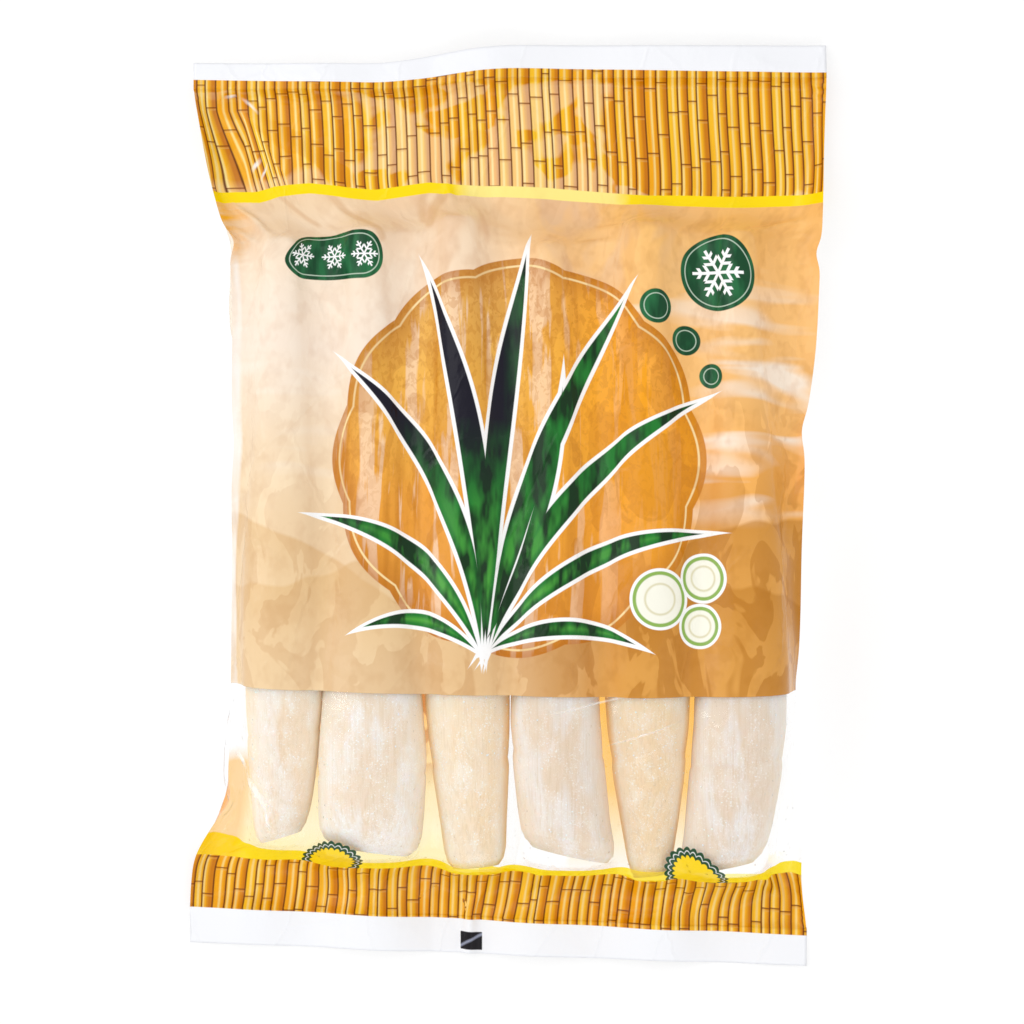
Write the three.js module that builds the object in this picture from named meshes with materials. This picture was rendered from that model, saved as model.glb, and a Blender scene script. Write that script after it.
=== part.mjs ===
// Frozen water bamboo (Zizania latifolia): six peeled shoots lying side by side in a sealed pillow bag.
// Millimetres, +Z up. The bag lies on its back: X runs across it, +Y points to its top seal, and the printed
// front faces +Z. The film is one web in the real bag. It is made here as the panels between its creases and
// seams, because a closed hollow can't be one solid: a front panel, two back panels, the seam that joins
// those two down the back, and the two end seals.
import * as THREE from "three";

// ---- driving dimensions -------------------------------------------------------------------------------

const FILM = 0.4; // thickness of a film panel, thicker than real film so that it is a sound solid
const GAP = 0.3; // clearance between panels that touch
const CLEARANCE = 0.8; // film above the shoots, which leaves room for the facets of both
const SEAM_WIDTH = 12; // the back seam, pressed flat
const TOP_SEAL = 11; // depth of the seal bands, measured along the bag
const BOTTOM_SEAL = 12.5;
const CREASE_HEIGHT = 7; // height of the side creases above the table, half way along the bag

const SHOOT_SIDES = 18;
const SHOOT_RINGS = 18;
const FRONT_CELLS = [34, 34]; // across, along
const BACK_CELLS = [7, 22]; // one back panel

// Inner corners of the end seals: [x, y] at the left and at the right.
const BOTTOM_CORNERS = [[-106.5, -137.5], [99.2, -145.5]];
const TOP_CORNERS = [[-105.2, 133.5], [105.6, 137.5]];

// Side creases of the filled bag: points [y, x] from the bottom seal to the top seal.
const LEFT_CREASE = [
  [-137.5, -106.5], [-121, -105], [-113.5, -100.5], [-106, -95.5], [-90, -93.2], [-60, -92.5], [10, -92.2],
  [62, -92.3], [80, -93.2], [90, -95.8], [103, -99.4], [118, -102.4], [133.5, -105.2],
];
const RIGHT_CREASE = [
  [-145.5, 99.2], [-129, 97], [-105, 97.6], [-82, 96], [-50, 96.4], [18, 98.4], [47, 101.8], [80, 103.5],
  [137.5, 105.6],
];

// Each shoot: x of its axis at the cut base, at the belly and at the tip, y of the base and of the tip,
// where the belly is as a share of the length from the base, the belly's width and depth, and the base's and
// tip's width as a share of the belly's.
const SHOOTS = [
  { x: [-75.8, -74.0, -76.0], y: [-116.6, 84.0], belly: 0.36, width: 24.6, depth: 23.6, base: 0.52, tip: 0.42 },
  { x: [-46.0, -45.2, -47.5], y: [-120.6, 87.0], belly: 0.16, width: 33.2, depth: 27.0, base: 0.78, tip: 0.36 },
  { x: [-11.0, -14.5, -17.0], y: [-125.1, 91.0], belly: 0.36, width: 28.0, depth: 25.4, base: 0.56, tip: 0.42 },
  { x: [20.0, 14.9, 13.6], y: [-122.8, 82.0], belly: 0.26, width: 30.0, depth: 27.0, base: 0.92, tip: 0.4 },
  { x: [46.8, 45.4, 45.4], y: [-128.0, 89.0], belly: 0.36, width: 30.0, depth: 27.4, base: 0.42, tip: 0.42 },
  { x: [70.0, 76.4, 75.5], y: [-126.3, 86.0], belly: 0.26, width: 31.0, depth: 28.0, base: 0.75, tip: 0.4 },
];

// ---- small helpers --------------------------------------------------------------------------------------

const mix = (a, b, t) => a + (b - a) * t;

function smoothStep(low, high, value) {
  const t = THREE.MathUtils.clamp((value - low) / (high - low), 0, 1);
  return t * t * (3 - 2 * t);
}

// A smooth curve through the points [key, value], read at any key.
function curveThrough(points) {
  const last = points.length - 1;
  const slope = (i) => {
    const a = points[Math.max(i - 1, 0)];
    const b = points[Math.min(i + 1, last)];
    return (b[1] - a[1]) / (b[0] - a[0]);
  };
  return (key) => {
    const k = THREE.MathUtils.clamp(key, points[0][0], points[last][0]);
    const i = Math.min(points.findLastIndex((p) => p[0] <= k), last - 1);
    const [x0, y0] = points[i];
    const [x1, y1] = points[i + 1];
    const h = x1 - x0;
    const t = (k - x0) / h;
    const t2 = t * t;
    const t3 = t2 * t;
    return y0 * (2 * t3 - 3 * t2 + 1) + slope(i) * h * (t3 - 2 * t2 + t)
      + y1 * (3 * t2 - 2 * t3) + slope(i + 1) * h * (t3 - t2);
  };
}

function meshFrom(name, vertices, faces, material) {
  const geometry = new THREE.BufferGeometry();
  geometry.setAttribute("position", new THREE.Float32BufferAttribute(vertices.flat(), 3));
  geometry.setIndex(faces.flat());
  geometry.computeVertexNormals();
  const mesh = new THREE.Mesh(geometry, material);
  mesh.name = name;
  return mesh;
}

// A sheet of even thickness: under(i, j) is a point of its lower face, and height is how far up its upper face is.
function sheet(name, [across, along], under, height, material) {
  const vertices = [];
  const faces = [];
  for (const lift of [0, height])
    for (let j = 0; j <= along; j++)
      for (let i = 0; i <= across; i++) {
        const [x, y, z] = under(i, j);
        vertices.push([x, y, z + lift]);
      }
  const upper = (across + 1) * (along + 1);
  const at = (i, j) => j * (across + 1) + i;
  for (let j = 0; j < along; j++)
    for (let i = 0; i < across; i++) {
      const [a, b, c, d] = [at(i, j), at(i + 1, j), at(i + 1, j + 1), at(i, j + 1)];
      faces.push([a, c, b], [a, d, c]);
      faces.push([upper + a, upper + b, upper + c], [upper + a, upper + c, upper + d]);
    }
  const rim = [];
  for (let i = 0; i < across; i++) rim.push(at(i, 0));
  for (let j = 0; j < along; j++) rim.push(at(across, j));
  for (let i = across; i > 0; i--) rim.push(at(i, along));
  for (let j = along; j > 0; j--) rim.push(at(0, j));
  rim.forEach((a, k) => {
    const b = rim[(k + 1) % rim.length];
    faces.push([a, b, upper + b], [a, upper + b, upper + a]);
  });
  return meshFrom(name, vertices, faces, material);
}

// ---- materials ------------------------------------------------------------------------------------------

const flesh = new THREE.MeshStandardMaterial({ color: 0xefe9d8, roughness: 0.55, metalness: 0 });
const printedFilm = new THREE.MeshStandardMaterial({ color: 0xf3cf96, roughness: 0.25, metalness: 0 });
const backFilm = new THREE.MeshStandardMaterial({ color: 0xf6ddb4, roughness: 0.25, metalness: 0 });
const sealedFilm = new THREE.MeshStandardMaterial({ color: 0xf2f4f7, roughness: 0.3, metalness: 0 });

// ---- the shoots -----------------------------------------------------------------------------------------

// Girth along a shoot, 1 at the belly: a rounded cut base, a full belly and a long taper to the trimmed tip.
function girth(shoot, s) {
  const body = s < shoot.belly
    ? mix(shoot.base, 1, Math.sin((s / shoot.belly) * Math.PI / 2))
    : mix(1, shoot.tip, smoothStep(0, 1, (s - shoot.belly) / (1 - shoot.belly)));
  const roundedBase = Math.sqrt(1 - (1 - Math.min(s / 0.03, 1)) ** 2 * 0.45);
  const roundedTip = Math.sqrt(1 - (1 - Math.min((1 - s) / 0.025, 1)) ** 2 * 0.5);
  return body * roundedBase * roundedTip;
}

// Centre and half sizes of the shoot's section at share s of its length. The shoot lies on its belly, so the
// thinner ends of its underside are a little off the film.
function section(shoot, s) {
  const g = girth(shoot, s);
  const [baseX, bellyX, tipX] = shoot.x;
  const x = s < shoot.belly
    ? mix(bellyX, baseX, (1 - s / shoot.belly) ** 1.4)
    : mix(bellyX, tipX, ((s - shoot.belly) / (1 - shoot.belly)) ** 2);
  const halfDepth = (shoot.depth / 2) * g;
  const under = FILM + GAP + 0.2 + 0.35 * (shoot.depth / 2 - halfDepth);
  return { x, y: mix(shoot.y[0], shoot.y[1], s), z: under + halfDepth, halfWidth: (shoot.width / 2) * g, halfDepth };
}

function shootMesh(shoot, index) {
  const vertices = [];
  const faces = [];
  // Rings are closer together at the two rounded ends.
  const shares = [0, 0.01, 0.03, 0.07];
  const plain = SHOOT_RINGS - 7;
  for (let k = 1; k <= plain; k++) shares.push(mix(0.07, 0.97, k / plain));
  shares.push(0.99, 1);
  shares.forEach((s) => {
    const c = section(shoot, s);
    for (let k = 0; k < SHOOT_SIDES; k++) {
      const turn = (2 * Math.PI * k) / SHOOT_SIDES;
      vertices.push([c.x + c.halfWidth * Math.sin(turn), c.y, c.z + c.halfDepth * Math.cos(turn)]);
    }
  });
  const ring = (r, k) => r * SHOOT_SIDES + (k % SHOOT_SIDES);
  for (let r = 0; r + 1 < shares.length; r++)
    for (let k = 0; k < SHOOT_SIDES; k++) {
      faces.push([ring(r, k), ring(r + 1, k + 1), ring(r + 1, k)]);
      faces.push([ring(r, k), ring(r, k + 1), ring(r + 1, k + 1)]);
    }
  [0, shares.length - 1].forEach((r) => {
    const c = section(shoot, shares[r]);
    const centre = vertices.length;
    vertices.push([c.x, c.y, c.z]);
    for (let k = 0; k < SHOOT_SIDES; k++) {
      const pair = [ring(r, k), ring(r, k + 1)];
      faces.push(r ? [centre, pair[0], pair[1]] : [centre, pair[1], pair[0]]);
    }
  });
  return meshFrom(`shoot_${index + 1}`, vertices, faces, flesh);
}

// Height of the top of the shoots over the point x, y, or 0 where there is none.
function shootsTop(x, y) {
  let top = 0;
  for (const shoot of SHOOTS) {
    const s = (y - shoot.y[0]) / (shoot.y[1] - shoot.y[0]);
    if (s < 0 || s > 1) continue;
    const c = section(shoot, s);
    const off = (x - c.x) / c.halfWidth;
    if (Math.abs(off) <= 1) top = Math.max(top, c.z + c.halfDepth * Math.sqrt(1 - off * off));
  }
  return top;
}

// ---- the film -------------------------------------------------------------------------------------------

const leftCrease = curveThrough(LEFT_CREASE);
const rightCrease = curveThrough(RIGHT_CREASE);

// Inner lines of the end seals, and how high the seals wave above the table.
const [BOTTOM_LEFT, BOTTOM_RIGHT] = BOTTOM_CORNERS;
const [TOP_LEFT, TOP_RIGHT] = TOP_CORNERS;
const topLine = (x) => mix(TOP_LEFT[1], TOP_RIGHT[1], smoothStep(-45, 5, x));
const bottomShare = (x) => (x - BOTTOM_LEFT[0]) / (BOTTOM_RIGHT[0] - BOTTOM_LEFT[0]);
const bottomLine = (x) => mix(BOTTOM_LEFT[1], BOTTOM_RIGHT[1], bottomShare(x));
const topWave = (x) => 4.6 + 2.2 * Math.cos((x + 38) / 21) * smoothStep(70, 0, Math.abs(x + 38));
const bottomWave = (x) => 3.6 + 1.3 * Math.sin((x - 10) / 17);

// A point of the bag seen from above: u runs from crease to crease and v from the bottom seal to the top seal.
function planPoint(u, v) {
  const y = mix(mix(BOTTOM_LEFT[1], BOTTOM_RIGHT[1], u), mix(TOP_LEFT[1], TOP_RIGHT[1], u), v);
  const x = mix(leftCrease(y), rightCrease(y), u);
  return [x, mix(bottomLine(x), topLine(x), v)];
}

// Height of the film's rim: the two waves at the ends, and the creases along the sides.
function rimHeight(x, v) {
  const crease = mix(3.5, CREASE_HEIGHT, smoothStep(0, 0.15, v) * smoothStep(1, 0.75, v));
  return mix(mix(bottomWave(x), crease, smoothStep(0, 0.1, v)), topWave(x), smoothStep(0.85, 1, v));
}

// 1 at both ends of the range 0 to 1, falling to 0 within reach of them.
const nearEnds = (t, reach) => (1 - Math.min(Math.min(t, 1 - t) / reach, 1)) ** 2;
const SIDE_REACH = 0.065; // in u
const END_REACH = 0.05; // in v

// Back film: flat on the table, and rising to the rim near the creases and the seals.
function backHeight(u, v) {
  const [x] = planPoint(u, v);
  const rise = Math.max(nearEnds(u, SIDE_REACH), nearEnds(v, END_REACH));
  return (rimHeight(x, v) - GAP / 2 - FILM) * rise;
}

// Front film: a taut skin over the shoots. Each point settles to the mean of its neighbours, but never sinks
// into a shoot or into the back film.
function settleFront([across, along]) {
  const cells = [];
  for (let j = 0; j <= along; j++)
    for (let i = 0; i <= across; i++) {
      const [u, v] = [i / across, j / along];
      const [x, y] = planPoint(u, v);
      const rim = i === 0 || j === 0 || i === across || j === along;
      let floor = backHeight(u, v) + FILM + GAP;
      for (const dx of [-2.6, 0, 2.6])
        for (const dy of [-4, 0, 4]) {
          const top = shootsTop(x + dx, y + dy);
          if (top > 0) floor = Math.max(floor, top + CLEARANCE);
        }
      cells.push({ x, y, rim, floor, z: rim ? rimHeight(x, v) + GAP / 2 : floor });
    }
  const at = (i, j) => cells[j * (across + 1) + i];
  for (let round = 0; round < 400; round++)
    for (let j = 1; j < along; j++)
      for (let i = 1; i < across; i++) {
        const c = at(i, j);
        const mean = (at(i - 1, j).z + at(i + 1, j).z + at(i, j - 1).z + at(i, j + 1).z) / 4;
        c.z = Math.max(c.floor, mean - 0.05);
      }
  return (i, j) => {
    const c = at(i, j);
    return [c.x, c.y, c.z];
  };
}

const frontFilm = sheet("front_film", FRONT_CELLS, settleFront(FRONT_CELLS), FILM, printedFilm);

// A back panel spans the u range from its crease to the seam.
function backPanel(name, fromU, toU) {
  const [across, along] = BACK_CELLS;
  const under = (i, j) => {
    const [u, v] = [mix(fromU, toU, i / across), j / along];
    const [x, y] = planPoint(u, v);
    return [x, y, backHeight(u, v)];
  };
  return sheet(name, BACK_CELLS, under, FILM, backFilm);
}

const seamHalf = SEAM_WIDTH / 2 / 195; // in u, where the bag is about 195 mm wide
const gapInU = GAP / 195;
const backLeft = backPanel("back_film_left", 0, 0.5 - seamHalf - gapInU);
const backRight = backPanel("back_film_right", 0.5 + seamHalf + gapInU, 1);

// The back seam: both edges of the web fused face to face and folded flat, so it is twice as thick. The extra
// thickness is outside the bag where the seam rises to the end seals.
function backSeam() {
  const along = BACK_CELLS[1];
  const under = (i, j) => {
    const [u, v] = [0.5 + (i ? seamHalf : -seamHalf), j / along];
    const [x, y] = planPoint(u, v);
    return [x, y, backHeight(u, v) - FILM * nearEnds(v, END_REACH)];
  };
  return sheet("back_seam", [1, along], under, 2 * FILM, sealedFilm);
}

// An end seal: both panels fused in a band that waves a little above the table.
function endSeal(name, line, wave, depth, [left, right], side) {
  const across = 26;
  const under = (i, j) => {
    const x = mix(left[0], right[0], i / across);
    const near = line(x) + side * GAP;
    const far = near + side * depth;
    return [x, side > 0 ? mix(near, far, j) : mix(far, near, j), wave(x) - FILM - GAP / 2];
  };
  return sheet(name, [across, 1], under, 2 * FILM + GAP, sealedFilm);
}

// ---- assembly -------------------------------------------------------------------------------------------

const bag = new THREE.Group();
SHOOTS.forEach((shoot, index) => bag.add(shootMesh(shoot, index)));
bag.add(frontFilm, backLeft, backRight, backSeam());
bag.add(endSeal("top_end_seal", topLine, topWave, TOP_SEAL, TOP_CORNERS, 1));
bag.add(endSeal("bottom_end_seal", bottomLine, bottomWave, BOTTOM_SEAL, BOTTOM_CORNERS, -1));

// The origin is on the table, under the middle of the bag's outline.
const box = new THREE.Box3().setFromObject(bag);
const middle = box.getCenter(new THREE.Vector3());
bag.position.set(-middle.x, -middle.y, -box.min.z);

export default bag;
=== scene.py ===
import math
import bpy
import numpy as np
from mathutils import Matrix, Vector


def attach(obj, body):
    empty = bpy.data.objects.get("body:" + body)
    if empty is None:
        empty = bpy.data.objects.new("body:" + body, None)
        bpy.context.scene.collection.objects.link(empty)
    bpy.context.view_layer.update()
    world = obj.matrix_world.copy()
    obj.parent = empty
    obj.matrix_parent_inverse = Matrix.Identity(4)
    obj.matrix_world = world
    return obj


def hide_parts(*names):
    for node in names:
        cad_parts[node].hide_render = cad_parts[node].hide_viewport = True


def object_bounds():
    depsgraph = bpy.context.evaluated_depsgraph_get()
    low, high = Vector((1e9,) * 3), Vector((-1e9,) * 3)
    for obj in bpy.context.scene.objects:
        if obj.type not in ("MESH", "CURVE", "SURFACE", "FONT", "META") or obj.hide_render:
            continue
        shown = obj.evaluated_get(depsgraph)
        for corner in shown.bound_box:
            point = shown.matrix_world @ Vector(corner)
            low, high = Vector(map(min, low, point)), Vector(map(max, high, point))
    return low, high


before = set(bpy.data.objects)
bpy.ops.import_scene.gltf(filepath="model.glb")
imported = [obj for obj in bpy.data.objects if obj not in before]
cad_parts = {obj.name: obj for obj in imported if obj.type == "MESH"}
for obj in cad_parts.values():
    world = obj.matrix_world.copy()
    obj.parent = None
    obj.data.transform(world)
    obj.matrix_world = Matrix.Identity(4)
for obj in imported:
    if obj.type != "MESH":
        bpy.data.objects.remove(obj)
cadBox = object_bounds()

# A pillow bag of six frozen, peeled water bamboo shoots, lying on its back.
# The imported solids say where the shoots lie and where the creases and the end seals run.
# Shapes are worked out in millimetres and go into the meshes in metres.

mm = 0.001
tiny = 1e-9
root = "root"


# small helpers

def linearColour(hexText):
    # sRGB hex to the linear colour that a socket takes
    parts = [int(hexText[i:i + 2], 16) / 255 for i in (1, 3, 5)]
    return (*[p / 12.92 if p <= 0.04045 else ((p + 0.055) / 1.055) ** 2.4 for p in parts], 1.0)


def smooth(low, high, value):
    share = np.clip((value - low) / (high - low), 0, 1)
    return share * share * (3 - 2 * share)


def bell(value, centre, width):
    return np.exp(-((value - centre) / width) ** 2)


def blend(first, second, share):
    return first * (1 - share) + second * share


def softened(line, kernel):
    # a running mean over a line whose ends hold their values
    padded = np.pad(line, len(kernel) // 2, mode="edge")
    return np.convolve(padded, kernel / kernel.sum(), mode="valid")


def stepLengths(points):
    return np.sqrt((np.diff(points, axis=0) ** 2).sum(-1))


def meshValues(vertices, what):
    values = np.zeros(len(vertices) * 3)
    vertices.foreach_get(what, values)
    return values.reshape(-1, 3)


def nodePoints(node):
    return meshValues(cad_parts[node].data.vertices, "co") / mm


def wallCurve(node, direction, along):
    # middle line of a thin sheet's side wall that faces a direction, sorted by its own x (0) or y (1)
    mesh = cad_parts[node].data
    points = nodePoints(node)
    facing = Vector(direction)
    picked = set()
    for face in mesh.polygons:
        if abs(face.normal.z) < 0.05 and face.normal.dot(facing) > 0.7:
            picked.update(face.vertices)
    wall = points[sorted(picked)]
    keys = np.unique(wall[:, along].round(1))
    rows = [wall[np.abs(wall[:, along] - key) < 0.15].mean(0) for key in keys]
    return np.array(rows)


def curveReader(rows, key, value):
    # a smooth function through a wall's points, straight beyond its ends
    dense = np.linspace(rows[0, key], rows[-1, key], 400)
    line = np.interp(dense, rows[:, key], rows[:, value])
    line = softened(line, np.hanning(25))
    return lambda at: np.interp(at, dense, line)


def gridFaces(points):
    rows, columns = points.shape[:2]
    at = np.arange(rows * columns).reshape(rows, columns)
    return at, np.stack([at[:-1, :-1], at[1:, :-1], at[1:, 1:], at[:-1, 1:]], -1).reshape(-1, 4)


def makeGrid(name, points):
    # a mesh object from a grid of points in mm
    return makePiece(name, points.reshape(-1, 3), gridFaces(points)[1].tolist())


def makePiece(name, points, faces):
    mesh = bpy.data.meshes.new(name)
    mesh.from_pydata((np.asarray(points) * mm).tolist(), [], faces)
    mesh.polygons.foreach_set("use_smooth", [True] * len(mesh.polygons))
    mesh.update()
    piece = bpy.data.objects.new(name, mesh)
    bpy.context.scene.collection.objects.link(piece)
    return piece


def keepVector(piece, name, *fields):
    # stores up to three numbers a vertex, which a material reads by name
    count = len(piece.data.vertices)
    columns = [np.asarray(field, float).reshape(-1) for field in fields]
    while len(columns) < 3:
        columns.append(np.zeros(count))
    layer = piece.data.attributes.new(name, "FLOAT_VECTOR", "POINT")
    layer.data.foreach_set("vector", np.stack(columns, -1).astype(np.float32).ravel())


# the shoots' sections, read from the rings of the solids

def shootSections(node):
    points = nodePoints(node)
    rows = []
    for y in np.unique(points[:, 1].round(2)):
        ring = points[np.abs(points[:, 1] - y) < 0.02]
        low, high = ring.min(0), ring.max(0)
        if high[0] - low[0] > 1:
            rows.append([y, *((low + high) / 2)[[0, 2]], *((high - low) / 2)[[0, 2]]])
    return np.array(rows).T


shootNodes = [f"shoot_{number}" for number in range(1, 7)]
sections = [shootSections(node) for node in shootNodes]
fuller = (1.12, 1.03, 1.06, 1.0, 1.0, 1.0)      # how much wider each shoot is than its solid, all along,
footing = (0.14, 0.15, 0.10, 0.08, 0.04, 0.12)  # beside its cut base,
flare = 0.16                                    # and at the very base
for part, factor, extra in zip(sections, fuller, footing):
    share = (part[0] - part[0][0]) / (part[0][-1] - part[0][0])
    part[3] *= factor + extra * smooth(0.28, 0.03, share) + flare * smooth(0.05, 0.0, share)


class HeightMaps:
    # tops and undersides of the shoots on a fine grid, which the film is pressed against
    cell = 0.5
    nothing = 40.0
    margin = 2      # cells that the film keeps clear beside a shoot

    def __init__(self):
        low, high = [np.array(corner) / mm for corner in cadBox]
        self.start = low[:2] - 5
        self.x = np.arange(self.start[0], high[0] + 5, self.cell)
        self.y = np.arange(self.start[1], high[1] + 5, self.cell)
        self.top = np.full((len(self.x), len(self.y)), -self.nothing)
        self.under = np.full((len(self.x), len(self.y)), self.nothing)
        for y, *rest in sections:
            middleX, middleZ, halfWidth, halfDepth = [np.interp(self.y, y, part) for part in rest]
            off = (self.x[:, None] - middleX) / halfWidth
            inside = (np.abs(off) <= 1) & (self.y >= y[0]) & (self.y <= y[-1])
            bulge = np.sqrt(np.clip(1 - off ** 2, 0, 1)) * halfDepth
            self.top = np.where(inside, np.maximum(self.top, middleZ + bulge), self.top)
            self.under = np.where(inside, np.minimum(self.under, middleZ - bulge), self.under)
        for _ in range(self.margin):
            for axis in (0, 1):
                for step in (-1, 1):
                    self.top = np.maximum(self.top, np.roll(self.top, step, axis))
                    self.under = np.minimum(self.under, np.roll(self.under, step, axis))

    def read(self, table, x, y):
        # between four cells; beside a shoot the cells under nothing count as a steep drop
        column = np.clip((x - self.start[0]) / self.cell, 0, len(self.x) - 1.001)
        row = np.clip((y - self.start[1]) / self.cell, 0, len(self.y) - 1.001)
        i, j = column.astype(int), row.astype(int)
        s, t = column - i, row - j
        low, high = [blend(table[i, row], table[i + 1, row], s) for row in (j, j + 1)]
        return blend(low, high, t)


def tautLength(along, heights):
    # length of a line pulled tight over the heights, from its first point to its last
    hull = []
    for point in zip(along, heights):
        while len(hull) > 1:
            (ax, az), (bx, bz) = hull[-2], hull[-1]
            if (bx - ax) * (point[1] - az) < (bz - az) * (point[0] - ax):
                break
            hull.pop()
        hull.append(point)
    line = np.array(hull)
    return np.hypot(*np.diff(line, axis=0).T).sum()


# the film: one tube, sealed flat at both ends, that settles over the shoots

film = {
    "cells": (4.0, 2.0, 1.0),      # mm, coarse to fine
    "steps": (500, 220, 50),
    "quickSteps": (160, 60),
    "weight": 0.02,                # sink of each step
    "skin": 0.35,                  # film clear of the flesh
    "floor": 0.15,
    "finRoom": 0.62,               # what the folded seam under the bag lifts it
    "grip": 0.5,                   # friction on the shoots
    "stiffness": 0.27,
    "shear": 0.35,
    "slackAcross": 0.7,            # film beyond a taut wrap, in the middle and near the seals
    "slackAtEnds": 7.0,
    "slackAlong": 3.0,
    "backSlack": 7.0,
    "creaseSlack": 3.2,
    "narrowing": 0.93,             # how much narrower the bag is in its middle than at its seals
    "startLength": 290.0,          # mm between the seals, for the count of cells alone
    "crown": (7.0, 24.0),          # mm, how high the front starts at its creases, and its rise
    "jitter": 0.25,                # mm, unevenness at the start
    "carry": (0.95, 0.9),          # speed kept each step, on the coarse cells and on finer ones
    "layers": 0.3,                 # mm that the front stays above the back
    "sealEase": 0.35,              # mm that the flat film is wider than the top seal's line
    "sealLowest": 0.8,             # mm, lowest height of a seal's line
    "seed": 4,
}
fin = {
    "half": 6.0,        # half the width of the folded back seam
    "thickness": 0.3,
    "under": 0.2,       # how far it is below the back film
    "cells": 12,
}
maps = HeightMaps()
leftWall = wallCurve("front_film", (-1, 0, 0), 1)
rightWall = wallCurve("front_film", (1, 0, 0), 1)
topWall = wallCurve("top_end_seal", (0, -1, 0), 0)
bottomWall = wallCurve("bottom_end_seal", (0, 1, 0), 0)
topEdge = wallCurve("top_end_seal", (0, 1, 0), 0)
bottomEdge = wallCurve("bottom_end_seal", (0, -1, 0), 0)
finSides = [wallCurve("back_seam", (side, 0, 0), 1) for side in (-1, 1)]
finMiddle = curveReader(sum(finSides) / 2, 1, 0)
print("crease and seal points read:", len(leftWall), len(rightWall), len(topWall), len(bottomWall))


def creaseLine(wall, pinches, waves):
    # x and z of a side crease at any y; pinches are small notches [y, depth, width]
    readX, readZ = curveReader(wall, 1, 0), curveReader(wall, 1, 2)
    inward = -np.sign(wall[:, 0].mean())
    low, high = wall[0, 1], wall[-1, 1]

    def place(y):
        x = readX(y) + inward * sum(depth * bell(y, at, width) for at, depth, width in pinches)
        away = smooth(low, low + 30, y) * smooth(high, high - 30, y)
        lift = sum(size * np.sin(y / length + turn) for size, length, turn in waves)
        return x, readZ(y) + away * lift

    return place


leftCrease = creaseLine(leftWall, [(88, 2.4, 4.5), (-97, 1.6, 5), (20, 0.7, 9)],
                        [(1.5, 15, 0.2), (0.8, 6.3, 1.0)])
rightCrease = creaseLine(rightWall, [(84, 1.5, 4), (25, 1.4, 6), (-60, 0.8, 8)],
                         [(1.4, 17, 1.9), (0.9, 7.1, 0.4)])


def sealLine(wall, ripple, tuck):
    # a seal's line as a function that spreads count + 1 points on it at even spacing of the film.
    # the flat film is wider than the seal is from above, and ripples take up the rest.
    x = np.linspace(wall[0, 0], wall[-1, 0], 3000)
    y = curveReader(wall, 0, 1)(x)
    base = curveReader(wall, 0, 2)(x)
    middle, half = (x[0] + x[-1]) / 2, (x[-1] - x[0]) / 2
    calm = smooth(half, half * 0.55, np.abs(x - middle))
    wave = sum(size * np.sin((x - at) / length) for size, at, length in ripple) * calm
    at, tall, wide = tuck
    wave = wave + tall * bell(x, at, wide)

    def measure(size):
        z = np.maximum(base + size * wave, film["sealLowest"])
        steps = stepLengths(np.stack([x, y, z], -1))
        return z, np.concatenate([[0], np.cumsum(steps)])

    low, high = 0.0, 3.0
    for _ in range(40):
        size = (low + high) / 2
        short = measure(size)[1][-1] < flatWidth
        low, high = (size, high) if short else (low, size)
    z, run = measure(size)

    def spread(count):
        even = np.linspace(0, run[-1], count + 1)
        return np.stack([np.interp(even, run, part) for part in (x, y, z)], -1)

    return spread


flatWidth = stepLengths(topWall).sum() + film["sealEase"]
topSeal = sealLine(topWall, [(0.5, -20, 12.5), (0.35, 30, 8.2)], (-34, 0.6, 7))
bottomSeal = sealLine(bottomWall, [(1.5, -7, 7.6), (0.5, 12, 13)], (-13, 2.4, 2.6))


def pull(a, b, rest, share, onlyPush=False):
    # brings two sets of points towards their rest distance, half each
    gap = b - a
    length = np.sqrt((gap * gap).sum(-1, keepdims=True)) + tiny
    change = 1 - rest / length
    if onlyPush:
        change = np.minimum(change, 0)
    step = 0.5 * share * change * gap
    a += step
    b -= step


def relaxFilm(tube, across, along, fold):
    # one round of the film's own stiffness; across and along are rest lengths of the cells
    for first in (0, 1):
        pull(tube[first:-1:2], tube[first + 1::2], across[first:-1:2], 1)
        pull(tube[:, first:-1:2], tube[:, first + 1::2], along[:, first::2], 1)
    pull(tube[-1:], tube[:1], across[-1:], 1)
    slant = np.sqrt(across[:, :-1] ** 2 + along ** 2)
    for first in (0, 1):
        reach = slant[first:-1:2]
        pull(tube[first:-1:2, :-1], tube[first + 1::2, 1:], reach, film["shear"])
        pull(tube[first:-1:2, 1:], tube[first + 1::2, :-1], reach, film["shear"])
    for side in (slice(0, fold + 1), slice(fold, len(tube))):
        part, wide = tube[side], across[side]
        for first in range(4):
            a, b = part[first:-2:4], part[first + 2::4]
            pull(a, b, 2 * wide[first:-2:4], film["stiffness"], onlyPush=True)
    for first in range(4):
        a, b = tube[:, first:-2:4], tube[:, first + 2::4]
        pull(a, b, 2 * along[:, first:-1:4], film["stiffness"], onlyPush=True)


def floorUnder(x, y):
    off = np.abs(x - finMiddle(y))
    return film["floor"] + film["finRoom"] * smooth(fin["half"] + 4, fin["half"] - 1, off)


def pressFilm(tube, fold):
    # the film stays outside the shoots and above the floor, and its front above its back
    front, back = tube[:fold + 1], tube[fold + 1:]
    top = maps.read(maps.top, front[..., 0], front[..., 1]) + film["skin"]
    touching = front[..., 2] < top
    front[..., 2] = np.maximum(front[..., 2], top)
    under = maps.read(maps.under, back[..., 0], back[..., 1]) - film["skin"]
    back[..., 2] = np.minimum(back[..., 2], under)
    facing = back[::-1]
    inner = front[1:-1]
    short = np.clip(film["layers"] - (inner[..., 2] - facing[..., 2]), 0, None) / 2
    inner[..., 2] += short
    facing[..., 2] -= short
    tube[..., 2] = np.maximum(tube[..., 2], floorUnder(tube[..., 0], tube[..., 1]))
    return touching


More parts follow.
